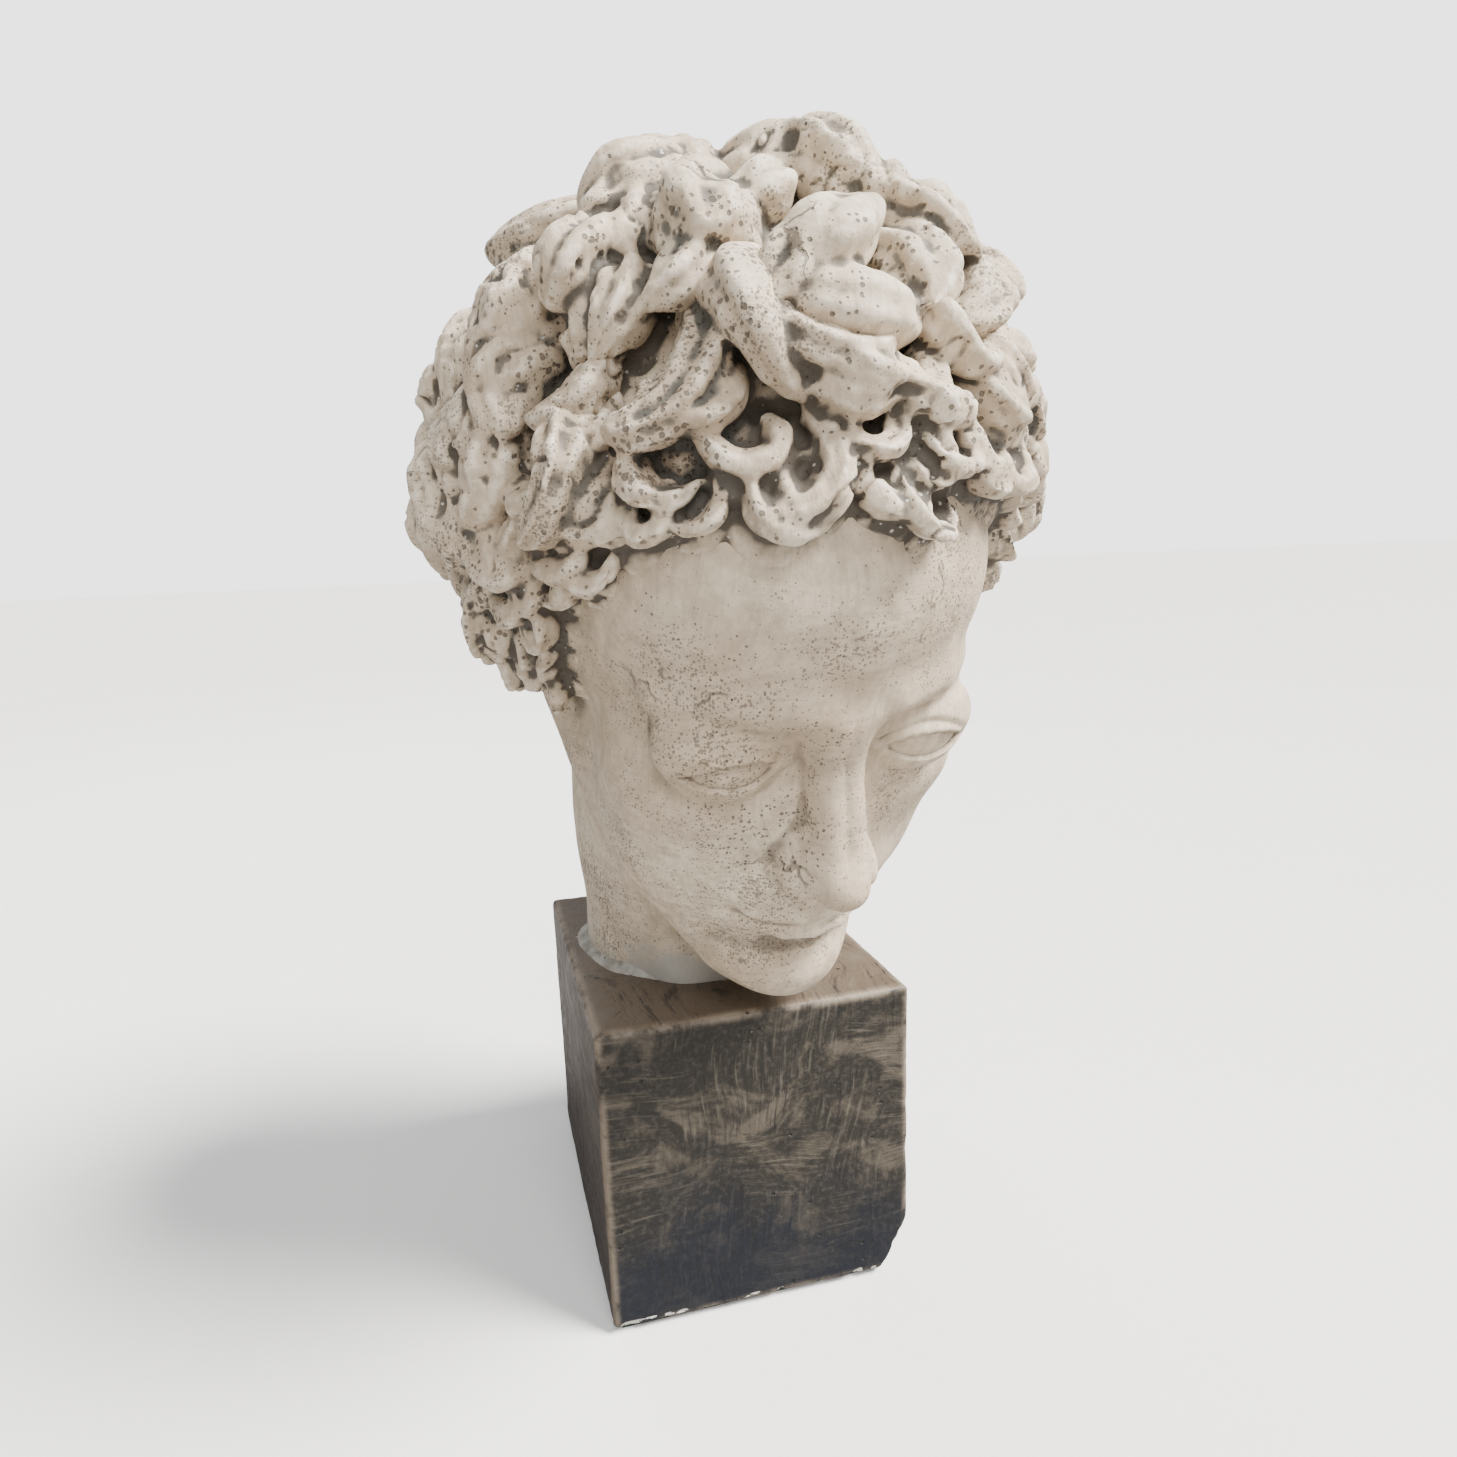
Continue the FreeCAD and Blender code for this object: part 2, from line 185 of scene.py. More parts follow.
def strip(p, stations):
    """The union of rolls through stations of (point, radius), blended where they meet."""
    shape = None
    for (start, thick_start), (end, thick_end) in zip(stations, stations[1:]):
        part = roll(p, start, end, thick_start, thick_end)
        shape = part if shape is None else add(shape, part, 1.0)
    return shape


def add(a, b, soft):
    """Two lumps joined, with a fillet about as wide as soft between them."""
    h = np.clip(0.5 + 0.5 * (b - a) / soft, 0.0, 1.0)
    return mix(b, a, h) - soft * h * (1.0 - h)


def scoop(a, b, soft):
    """Lump a with lump b taken out, the rim of the hollow rounded over soft."""
    return -add(-a, b, soft)


def skull_and_jaw(p, m):
    """The big forms of the head. Here and below, m is p with its two halves folded together."""
    d = egg(p, (0, 6, 32), (76, 100, 86))
    d = add(d, egg(p, (0, -44, 42), (61, 54, 48)), 14)
    d = add(d, egg(p, (0, -36, -32), (56, 60, 72)), 16)
    d = add(d, egg(p, (0, -40, -70), (46, 51, 42)), 16)
    d = add(d, roll(m, (49, -8, -54), (18, -72, -102), 12, 12), 18)
    d = add(d, egg(m, (35, -46, -44), (22, 27, 36)), 16)
    d = add(d, egg(m, (37, -62, -24), (23, 22, 17)), 18)
    d = add(d, egg(m, (27, -54, -56), (24, 25, 26)), 18)
    d = add(d, egg(p, (0, -85, -101), (20, 16, 16)), 14)
    return d


def brow_and_sockets(d, m):
    """The brow ridges and the hollows of the eye sockets."""
    ridge = [((3, -93, 13), 6.5), ((15, -92, 17), 6.8), ((32, -86, 18.5), 6.5), ((48, -71, 14), 5)]
    d = add(d, strip(m, ridge), 12)
    d = scoop(d, egg(m, (32, -104, 0), (20, 18, 12.5)), 11)
    d = scoop(d, egg(m, (15.5, -103, 1), (8, 9, 12)), 8)
    return d


def eyes(d, m):
    """Eyeballs under lids: each lid is a thin shell round the ball, open between two arcs."""
    apart, reach = 32.0, 14.0
    across = (m[..., 0] - apart) / 15.0
    upper = -2.4 + 5.4 * (1 - across ** 2) - 0.6 * across
    lower = -2.4 - 4.2 * (1 - across ** 2) - 0.6 * across
    opening = -np.minimum(upper - m[..., 2], m[..., 2] - lower)
    globe = egg(m, (apart, -80, -2), (17.5, reach, reach))
    bulge = egg(m, (apart, -79, 1.0), (22.5, 15.8, 14.5))
    d = add(d, bulge, 4.0)
    d = add(d, globe - 2.0, 2.0)
    crease = np.abs(m[..., 2] - (upper + 3.8 - 1.0 * across ** 2)) / 1.2
    near = smoothstep(19, 13, np.abs(m[..., 0] - apart)) * smoothstep(-74, -84, m[..., 1])
    d = d + 1.1 * np.exp(-crease ** 2) * near
    front = m[..., 1] + 72
    d = scoop(d, np.maximum(opening, front), 0.8)
    d = np.minimum(d, globe)
    return add(d, egg(m, (17.0, -88.6, -2.0), (4.4, 3.2, 2.6)), 1.2)


def nose(d, p, m):
    """A straight flat-ridged nose with a soft tip, wings and nostrils."""
    ridge = [((2.4, -93, 13), 5.5), ((2.4, -96.5, -5), 5.8), ((3.0, -106.5, -31), 7.0)]
    d = add(d, strip(m, ridge), 7)
    d = add(d, egg(p, (0, -97, -36), (15, 14, 13)), 6)
    d = add(d, egg(p, (0, -111, -38), (9.2, 9.8, 8.0)), 5)
    d = add(d, egg(m, (11.6, -100.5, -41), (5.6, 10, 6.6)), 5)
    d = add(d, roll(p, (0, -112, -42), (0, -98, -47), 3.4, 4.0), 3)
    d = scoop(d, egg(m, (6.4, -105.5, -49), (2.9, 5.6, 4.4)), 1.6)
    d = scoop(d, roll(m, (20.5, -99, -35), (18.5, -100, -46), 2.4, 2.0), 3.5)
    return d


def mouth_and_chin(d, p, m):
    """The muzzle, full closed lips, the furrow below them and the ball of the chin."""
    d = add(d, egg(p, (0, -75, -63), (29, 26, 24)), 12)
    d = scoop(d, roll(p, (0, -105.8, -50), (0, -106.8, -59), 2.8, 3.4), 4)
    upper_lip = [((0, -99.0, -62.9), 4.3), ((6, -99.4, -61.6), 4.4), ((14, -95.6, -63.2), 3.5),
                 ((20, -91.4, -65.0), 2.4), ((24.5, -87.6, -66.6), 1.4)]
    lower_lip = [((0, -97.6, -71.6), 6.4), ((9, -96.4, -71.0), 5.8), ((16, -92.8, -69.6), 4.2),
                 ((22, -88.8, -67.9), 2.2)]
    parting = [((0, -104.4, -66.6), 0.7), ((7, -103.0, -66.0), 0.7), ((16, -97.4, -66.8), 0.8),
               ((25.5, -90.4, -66.8), 1.3)]
    d = add(d, strip(m, upper_lip), 2.0)
    d = add(d, strip(m, lower_lip), 2.0)
    d = scoop(d, strip(m, parting), 1.5)
    d = scoop(d, egg(m, (28, -93, -67), (3, 5, 4)), 5)
    d = scoop(d, roll(m, (0, -103.0, -82.5), (13, -97.5, -81), 5.5, 4.5), 9)
    return d


def head_and_neck(row_points):
    """How far each point of the row frame is outside the finished head and neck."""
    p = to_head(row_points).astype(np.float32)
    m = p.copy()
    m[..., 0] = np.sqrt(p[..., 0] ** 2 + 0.04)
    d = skull_and_jaw(p, m)
    d = brow_and_sockets(d, m)
    d = nose(d, p, m)
    d = mouth_and_chin(d, p, m)
    d = eyes(d, m)
    return add(d, neck(row_points), 9)


def neck(row_points):
    """A strong neck that leans forward off its foot and narrows a little on the way up, with the
    long muscles down its sides and two columns behind, a shallow furrow between them."""
    foot = np.array([NECK_FOOT[0], NECK_FOOT[1], BLOCK_TOP - 6])
    top = to_row(np.array([0.0, 26.0, -44.0]))
    waist = mix(foot, top, 0.5)
    d = add(roll(row_points, foot, waist, NECK_FOOT_RADIUS - 1.0, 54.5),
            roll(row_points, waist, top, 54.5, 60.0), 16)
    for side in (-1, 1):
        ear = to_row(np.array([side * 56.0, 14.0, -36.0]))
        throat = foot + np.array([side * 22.0, -46.0, 6.0])
        d = add(d, roll(row_points, throat, ear, 9.5, 13.0), 12)
        nape = to_row(np.array([side * 21.0, 76.0, -36.0]))
        column = foot + np.array([side * 24.0, 38.0, 6.0])
        d = add(d, roll(row_points, column, nape, 17.5, 17.0), 10)
    slab = BLOCK_TOP - 14 - row_points[..., 2]
    return np.maximum(d, slab)


# ---------------------------------------------------------------- putting arrays into meshes

def grid_faces(rows, columns, closed_rows=False, closed_columns=True):
    """Quads between neighbours of a grid of vertices stored row by row."""
    i = np.arange(rows if closed_rows else rows - 1)[:, None]
    j = np.arange(columns if closed_columns else columns - 1)[None, :]
    a, b = i * columns + j, i * columns + (j + 1) % columns
    c, d = ((i + 1) % rows) * columns + (j + 1) % columns, ((i + 1) % rows) * columns + j
    return np.stack(np.broadcast_arrays(a, b, c, d), -1).reshape(-1, 4)


def placed_object(name, data):
    """A new object at the origin, in the scene."""
    thing = bpy.data.objects.new(name, data)
    bpy.context.collection.objects.link(thing)
    return thing


def make_mesh(name, points, faces):
    """An object at the origin from vertices in millimetres and a list of face arrays."""
    mesh = bpy.data.meshes.new(name)
    faces = faces if isinstance(faces, list) else [faces]
    loops = np.concatenate([f.ravel() for f in faces]).astype(np.int32)
    sizes = np.concatenate([np.full(len(f), f.shape[1]) for f in faces])
    starts = np.concatenate([[0], np.cumsum(sizes)[:-1]]).astype(np.int32)
    mesh.vertices.add(len(points))
    mesh.vertices.foreach_set("co", (points * MM).astype(np.float32).ravel())
    mesh.loops.add(len(loops))
    mesh.loops.foreach_set("vertex_index", loops)
    mesh.polygons.add(len(starts))
    mesh.polygons.foreach_set("loop_start", starts)
    mesh.update(calc_edges=True)
    mesh.validate()
    mesh.shade_smooth()
    return placed_object(name, mesh)


def corners_of(mesh):
    """A mesh's vertices in millimetres."""
    flat = np.empty(len(mesh.vertices) * 3, dtype=np.float32)
    mesh.vertices.foreach_get("co", flat)
    return flat.reshape(-1, 3).astype(np.float64) / MM


def normals_of(mesh):
    """A mesh's vertex normals."""
    flat = np.empty(len(mesh.vertices) * 3, dtype=np.float32)
    mesh.vertex_normals.foreach_get("vector", flat)
    return flat.reshape(-1, 3).astype(np.float64)


def neighbours_mean(mesh, values, rounds):
    """Values averaged with those of the joined vertices, again and again."""
    pairs = np.empty(len(mesh.edges) * 2, dtype=np.int32)
    mesh.edges.foreach_get("vertices", pairs)
    a, b = pairs[0::2], pairs[1::2]
    count = np.bincount(a, minlength=len(values)) + np.bincount(b, minlength=len(values))
    values = values.copy()
    flat = values.reshape(len(values), -1)
    for _ in range(rounds):
        total = np.stack([np.bincount(a, flat[b, k], len(flat)) + np.bincount(b, flat[a, k], len(flat))
                          for k in range(flat.shape[1])], 1)
        flat = 0.5 * flat + 0.5 * total / np.maximum(count, 1)[:, None]
    return flat.reshape(values.shape)


def write_attribute(mesh, name, values):
    """A float for each vertex, which a material reads by name."""
    layer = mesh.attributes.new(name, "FLOAT", "POINT")
    layer.data.foreach_set("value", values.astype(np.float32))


def move_vertices(mesh, points):
    """Writes vertices given in millimetres back into a mesh."""
    mesh.vertices.foreach_set("co", (points * MM).astype(np.float32).ravel())
    mesh.update()


def hollowness(mesh, rounds):
    """How far each vertex lies below the smoothed surface, in millimetres: hollows are above
    nought and ridges below it."""
    points = corners_of(mesh)
    return ((neighbours_mean(mesh, points, rounds) - points) * normals_of(mesh)).sum(-1)


# ---------------------------------------------------------------- the head

HEAD_ROWS = 330
ROWS_ABOVE_COLLAR = 270
HEAD_COLUMNS = 296
TRACE_STEPS = 60


def outward_rays():
    """Starts and directions of the fan of rays that finds the head's surface.

    Down to the collar they spread from one point inside the head, from the crown to under the
    jaw. Below it their start slides back into the neck while they aim at rings that lead from
    the collar to the foot. Columns crowd round the face and rows crowd round its middle."""
    turn = (clustered(HEAD_COLUMNS + 1, 0.5, 3.4)[:-1] - 0.5) * 2 * np.pi
    down = np.concatenate([clustered(ROWS_ABOVE_COLLAR, 0.62, 1.2),
                           1 + np.linspace(0, 1, HEAD_ROWS - ROWS_ABOVE_COLLAR + 1)[1:]])
    turn, down = np.meshgrid(turn, down)
    collar = np.radians(132 + 20 * np.cos(turn))
    polar = collar * np.minimum(down, 1.0)
    centre = np.array([0.0, -22.0, -12.0])
    aim = np.stack([np.sin(turn) * np.sin(polar), -np.cos(turn) * np.sin(polar), np.cos(polar)], -1)
    reach = 100 + 23 * np.cos(turn)
    ring = to_row(centre + aim * reach[..., None])
    foot = np.stack([NECK_FOOT[0] + NECK_FOOT_RADIUS * np.sin(turn),
                     NECK_FOOT[1] - NECK_FOOT_RADIUS * np.cos(turn),
                     np.full_like(turn, BLOCK_TOP - 3)], -1)
    share = np.maximum(down - 1.0, 0.0)[..., None]
    inside = np.array([NECK_FOOT[0], NECK_FOOT[1], BLOCK_TOP + 75])
    start = mix(to_row(centre), inside, np.clip(share * 1.6, 0, 1))
    target = mix(ring, foot, share)
    return start, unit(target - start)


def trace(start, aim):
    """Walks each ray outwards by most of the distance left inside the clay until it is out."""
    far = np.full(aim.shape[:-1], 20.0)
    for _ in range(TRACE_STEPS):
        far += np.maximum(-head_and_neck(start + aim * far[..., None]), 0.0) * 0.85 + 0.004
    return start + aim * far[..., None]


def build_head():
    """The head and neck as one closed grid, with poles at the crown and inside the foot."""
    start, aim = outward_rays()
    points = trace(start, aim).reshape(-1, 3)
    crown = points[:HEAD_COLUMNS].mean(0)
    base = np.array([NECK_FOOT[0], NECK_FOOT[1], BLOCK_TOP - 3])
    ring = np.arange(HEAD_COLUMNS)
    last = len(points) - HEAD_COLUMNS
    faces = grid_faces(HEAD_ROWS, HEAD_COLUMNS)[:, ::-1]
    top_fan = np.stack([np.full(HEAD_COLUMNS, len(points)), (ring + 1) % HEAD_COLUMNS, ring], 1)
    base_fan = np.stack([last + ring, last + (ring + 1) % HEAD_COLUMNS,
                         np.full(HEAD_COLUMNS, len(points) + 1)], 1)
    points = np.concatenate([points, [crown, base]])
    return make_mesh("plaster_head", points, [faces, top_fan[:, ::-1], base_fan[:, ::-1]])


# ---------------------------------------------------------------- the hair

SKULL_MIDDLE = np.array([0.0, 6.0, 32.0])
WHORL = unit(np.array([0.0, 0.42, 0.91]))
SKULL_REACH = 92.0

# The hairline seen from the middle of the skull: degrees round from the face, degrees up.
HAIRLINE_ROUND = [0, 30, 46, 58, 68, 80, 100, 130, 180]
HAIRLINE_UP = [25, 23, 15, -6, -30, -45, -48, -50, -56]

# Rows of locks from the fringe to the crown. Millimetres: how far the middle of the row lies
# above the hairline, the gap between locks, and a lock's length, half width, half thickness and
# lift at its root, belly and tip. Then how far round its end hooks in degrees, how late the hook
# comes, where along it the lock is widest, how wide its tip is, and its pad's width and height.
ROWS = [
    dict(above=4, gap=11.5, length=31, wide=4.0, thick=5.6, lift=(5, 8, 5), hook=265, bend=1.15,
         peak=0.30, point=0.50, pad=(12, 4)),
    dict(above=15, gap=13.5, length=35, wide=4.8, thick=6.6, lift=(6, 11, 8), hook=260, bend=1.2,
         peak=0.35, point=0.50, pad=(13, 6)),
    dict(above=28, gap=17, length=42, wide=6.4, thick=8.2, lift=(7, 14, 12), hook=235, bend=1.3,
         peak=0.42, point=0.50, pad=(16, 8)),
    dict(above=43, gap=21, length=45, wide=8.6, thick=9.6, lift=(8, 17, 17), hook=165, bend=1.5,
         peak=0.54, point=0.56, pad=(18, 9)),
    dict(above=61, gap=24, length=43, wide=10.8, thick=11.0, lift=(10, 19, 22), hook=90, bend=1.6,
         peak=0.64, point=0.64, pad=(20, 12)),
    dict(above=81, gap=26, length=41, wide=12.2, thick=12.0, lift=(12, 21, 26), hook=70, bend=1.6,
         peak=0.68, point=0.66, pad=(21, 14)),
    dict(above=100, gap=26, length=41, wide=12.5, thick=12.5, lift=(13, 22, 28), hook=65, bend=1.6,
         peak=0.68, point=0.66, pad=(22, 15)),
    dict(above=119, gap=26, length=41, wide=12.5, thick=12.5, lift=(13, 22, 27), hook=70, bend=1.6,
         peak=0.68, point=0.64, pad=(22, 15)),
    dict(above=138, gap=26, length=41, wide=12.2, thick=12.0, lift=(12, 20, 25), hook=75, bend=1.6,
         peak=0.66, point=0.64, pad=(21, 14)),
    dict(above=157, gap=26, length=40, wide=12.0, thick=11.5, lift=(10, 18, 22), hook=80, bend=1.6,
         peak=0.66, point=0.62, pad=(20, 12)),
    dict(above=176, gap=26, length=38, wide=11.5, thick=11.5, lift=(8, 15, 19), hook=80, bend=1.6,
         peak=0.66, point=0.62, pad=(20, 10)),
    dict(above=195, gap=25, length=36, wide=11.0, thick=11.0, lift=(8, 14, 17), hook=80, bend=1.6,
         peak=0.66, point=0.62, pad=(18, 9)),
]

# Locks that stand out from their rows: degrees round the whorl and down from it, the heading and
# hook in degrees, then sizes as for the rows.
FEATURES = [
    (15, 50, -8, 60, 44, 13.5, 11.5, (15, 23, 14), 0.22, 0.45),
    (-16, 60, -62, -95, 44, 10.5, 11.0, (12, 22, 21), 0.60, 0.80),
    (44, 64, 172, 25, 36, 12.5, 11.0, (12, 18, 22), 0.25, 0.20),
    (-10, 42, -35, -30, 40, 12.5, 12.0, (15, 25, 30), 0.65, 0.75),
    (14, 28, -20, 20, 42, 15.5, 13.0, (14, 23, 28), 0.65, 0.70),
    (50, 52, -65, 120, 46, 10.0, 10.5, (12, 21, 22), 0.55, 0.60),
    (-36, 58, 40, 140, 46, 10.0, 10.5, (12, 21, 22), 0.55, 0.60),
]
CURLY_ROWS = 4
STATIONS = 34
SECTION_POINTS = 32
HAIR_SEED = 7
SKIN_SIZE = 1.1


def whorl_axes():
    """Two directions square to the whorl's: towards the face, and towards -X."""
    face = np.array([0.0, -1.0, 0.0])
    face = unit(face - WHORL * (face @ WHORL))
    return face, np.cross(face, WHORL)


def hairline_below_whorl(turn):
    """How many radians the hairline lies from the whorl, for turns round the whorl's axis."""
    around = np.radians(np.linspace(-180, 180, 361))
    up = np.radians(np.interp(np.degrees(np.abs(around)), HAIRLINE_ROUND, HAIRLINE_UP))
    way = np.stack([np.sin(around) * np.cos(up), -np.cos(around) * np.cos(up), np.sin(up)], -1)
    face, side = whorl_axes()
    turns = np.arctan2(way @ side, way @ face)
    order = np.argsort(turns)
    return np.interp(turn, turns[order], np.arccos(way @ WHORL)[order], period=2 * np.pi)


def way_from_whorl(turn, down):
    """Directions from the middle of the skull, turned round the whorl and tipped down from it."""
    face, side = whorl_axes()
    out = np.cos(turn)[..., None] * face + np.sin(turn)[..., None] * side
    return np.cos(down)[..., None] * WHORL + np.sin(down)[..., None] * out


def scalp_reach(way):
    """How far the clay of the skull reaches from its middle in each direction."""
    far = np.full(way.shape[:-1], 30.0)
    for _ in range(30):
        p = (SKULL_MIDDLE + way * far[..., None]).astype(np.float32)
        m = p.copy()
        m[..., 0] = np.abs(m[..., 0])
        far -= skull_and_jaw(p, m) * 0.9
    return far


def evenly_round(above, gap, offset):
    """Turns round the whorl that are a gap apart along the line that far above the hairline."""
    turn = np.linspace(-np.pi, np.pi, 721)
    down = hairline_below_whorl(turn) - above / SKULL_REACH
    line = way_from_whorl(turn, np.maximum(down, 0.05)) * SKULL_REACH
    run = np.concatenate([[0], np.cumsum(np.linalg.norm(np.diff(line, axis=0), axis=1))])
    count = int(run[-1] / gap)
    wanted = (np.arange(count) + offset) / count * run[-1]
    return np.interp(wanted, run, turn)


def comb(rng):
    """Where every lock is rooted and how it runs, as arrays with one entry for each lock."""
    locks = []
    for number, row in enumerate(ROWS):
        turn = evenly_round(row["above"], row["gap"], 0.5 * (number % 2) + 0.25)
        down = hairline_below_whorl(turn) - row["above"] / SKULL_REACH
        kept = down > 0.10
        turn, down = turn[kept], down[kept]
        count = len(turn)
        curly = number < CURLY_ROWS
        turn = turn + rng.normal(0, 0.13 * row["gap"], count) / (SKULL_REACH * np.sin(down).clip(0.3))
        down = down + rng.normal(0, 1.6 if curly else 3.4, count) / SKULL_REACH
        side = np.where(rng.random(count) < 0.5 - 0.2 * np.sign(turn), 1.0, -1.0)
        size = rng.uniform(0.86, 1.14, count) if curly else rng.uniform(0.78, 1.2, count)
        spread = (5, 45) if curly else (-20, 75)
        sharp = np.where(rng.random(count) < (0.0 if curly else 0.25), 0.35, 1.0)
        locks.append(dict(
            turn=turn,
            down=down - (0.30 if curly else 0.42) * row["length"] / SKULL_REACH,
            heading=-side * np.radians(rng.uniform(*spread, count)),
            hook=side * np.radians(row["hook"] * rng.uniform(0.7, 1.25, count)),
            length=row["length"] * size * rng.uniform(0.9, 1.12, count),
            wide=row["wide"] * size,
            thick=row["thick"] * size * rng.uniform(0.9, 1.1, count),
            bend=np.full(count, row["bend"]),
            peak=row["peak"] * rng.uniform(0.75, 1.15, count),
            point=row["point"] * sharp * rng.uniform(0.8, 1.2, count),
            blunt=np.full(count, 0.80 if curly else 0.52),
            tilt=np.full(count, 0.42 if curly else 0.22),
            pad_wide=row["pad"][0] * rng.uniform(0.9, 1.1, count),
            pad_high=row["pad"][1] * rng.uniform(0.8, 1.1, count),
            root=np.full(count, float(row["lift"][0])),
            belly=row["lift"][1] * rng.uniform(0.82, 1.18, count),
            tip=row["lift"][2] * rng.uniform(0.7, 1.25, count),
        ))
    turn, down, heading, hook, length, wide, thick, lift, peak, point = (
        np.array(column, dtype=float) for column in zip(*FEATURES))
    same = np.ones(len(FEATURES))
    locks.append(dict(
        turn=np.radians(turn), down=np.radians(down), heading=np.radians(heading), hook=np.radians(hook),
        length=length, wide=wide, thick=thick, bend=same * 1.5, peak=peak, point=point, blunt=same * 0.72,
        tilt=same * 0.3, pad_wide=wide * 1.3, pad_high=thick, root=lift[:, 0], belly=lift[:, 1],
        tip=lift[:, 2]))
    return {key: np.concatenate([part[key] for part in locks]) for key in locks[0]}


def lock_surfaces(locks, rng):
    """Every lock as a grooved profile carried along a hooked path over the scalp.

    The path's heading turns ever faster towards its tip while it rises from root to belly and
    goes on to its tip in slow waves. The profile swells to its widest, narrows to the tip and
    ends in a round. It leans up towards the outside of the bend, and sharp furrows that wind
    slowly round it part it into strands. The result is indexed by lock, station and profile
    point."""
    s = np.linspace(0, 1, STATIONS)[None, :]
    each = {key: value[:, None] for key, value in locks.items()}
    count = len(locks["turn"])
    heading = each["heading"] + each["hook"] * s ** each["bend"]
    step = each["length"] / (STATIONS - 1)
    downhill = np.cumsum(np.cos(heading) * step, axis=1)
    sideways = np.cumsum(np.sin(heading) * step, axis=1)
    up = way_from_whorl(each["turn"], each["down"])
    fall = unit(up * np.cos(each["down"])[..., None] - WHORL)
    across = np.cross(up, fall)
    way = unit(up * SKULL_REACH + downhill[..., None] * fall + sideways[..., None] * across)
    lift = (each["root"] + (each["belly"] - each["root"]) * smoothstep(0.0, 0.5, s)
            + (each["tip"] - each["belly"]) * smoothstep(0.5, 1.0, s))
    lift = lift + 0.10 * each["thick"] * np.sin(2 * np.pi * (1.4 * s + rng.random((count, 1))))
    middle = SKULL_MIDDLE + way * (scalp_reach(way) + lift)[..., None]
    along = unit(np.gradient(middle, axis=1))
    out = unit(way - along * (way * along).sum(-1, keepdims=True))
    side = np.cross(along, out)
    over = np.clip((s - each["blunt"]) / (1 - each["blunt"]), 0, 1)
    swell = mix(0.55, 1.0, smoothstep(0, 1, s / each["peak"]))
    narrow = mix(1.0, each["point"], smoothstep(0, 1, (s - each["peak"]) / (1 - each["peak"])))
    belly = swell * narrow * np.sqrt(np.clip(1 - over ** 2, 0.0009, 1))
    phi = np.linspace(0, 2 * np.pi, SECTION_POINTS, endpoint=False)[None, None, :]
    furrows = rng.integers(4, 8, count)[:, None, None]
    swing = rng.uniform(0, 2 * np.pi, count)[:, None, None]
    swing = swing + rng.uniform(-1.6, 1.6, (count, 1, 1)) * s[..., None]
    ridge = np.abs(np.sin(0.5 * furrows * phi + swing)) ** 0.55
    depth = rng.uniform(0.26, 0.48, (count, 1, 1)) * smoothstep(0.02, 0.2, s)[..., None]
    radius = 1 - depth * (1 - ridge) * np.clip(np.sin(phi) + 0.55, 0, 1)
    x = np.sign(np.cos(phi)) * np.abs(np.cos(phi)) ** 0.85 * radius * (each["wide"] * belly)[..., None]
    y = np.sin(phi) * radius * (each["thick"] * belly)[..., None]
    y = y + x * (each["tilt"] * np.sign(each["hook"]))[..., None] * smoothstep(0.1, 0.5, s)[..., None]
    return middle[:, :, None] + side[:, :, None] * x[..., None] + out[:, :, None] * y[..., None]


def closed_tubes(surfaces):
    """Vertices and faces of many tubes, each closed by a flat end."""
    count, stations, around = surfaces.shape[:3]
    quads = grid_faces(stations, around)
    ends = np.stack([np.arange(around)[::-1], (stations - 1) * around + np.arange(around)])
    shift = (np.arange(count) * stations * around)[:, None, None]
    faces = [(quads + shift).reshape(-1, 4), (ends + shift).reshape(-1, around)]
    return surfaces.reshape(-1, 3), faces


def one_skin(name, points, faces):
    """The outside of many overlapping closed tubes as one skin of even small faces."""
    rough = make_mesh(name + "_rough", points, faces)
    skin = rough.modifiers.new("one_skin", "REMESH")
    skin.mode = "VOXEL"
    skin.voxel_size = SKIN_SIZE * MM
    graph = bpy.context.evaluated_depsgraph_get()
    mesh = bpy.data.meshes.new_from_object(rough.evaluated_get(graph))
    mesh.name = name
    bpy.data.objects.remove(rough)
    mesh.shade_smooth()
    return placed_object(name, mesh)


def pad_surfaces(surfaces, locks):
    """A flattened egg of clay under each lock, so that no bare skull shows between locks."""
    low = surfaces[:, STATIONS // 2].mean(1)
    way = unit(low - SKULL_MIDDLE)
    base = SKULL_MIDDLE + way * (scalp_reach(way) - 3.0)[:, None]
    side = unit(np.cross(way, WHORL))
    other = np.cross(way, side)
    tip, turn = np.meshgrid(np.linspace(0.05, np.pi - 0.05, 14),
                            np.linspace(0, 2 * np.pi, 20, endpoint=False), indexing="ij")
    ball = np.stack([np.sin(tip) * np.cos(turn), np.sin(tip) * np.sin(turn), np.cos(tip)], -1)
    wide, high = locks["pad_wide"][:, None, None, None], locks["pad_high"][:, None, None, None] + 3.0
    return (base[:, None, None] + side[:, None, None] * ball[..., 0:1] * wide
            + other[:, None, None] * ball[..., 1:2] * wide + way[:, None, None] * ball[..., 2:3] * high)


HAIR_PIECES = ("front", "left", "right", "back_left", "back_right", "crown")


def quarter_of(way):
    """Which piece of hair each direction belongs to, by how far round from the face and how far
    up it points."""
    around = np.degrees(np.arctan2(way[:, 0], -way[:, 1]))
    up = np.degrees(np.arcsin(way[:, 2]))
    names = np.where(np.abs(around) < 55, "front", np.where(around < 0, "left", "right"))
    names = np.where(np.abs(around) > 118, np.where(around < 0, "back_left", "back_right"), names)
    return np.where(up > 50, "crown", names)


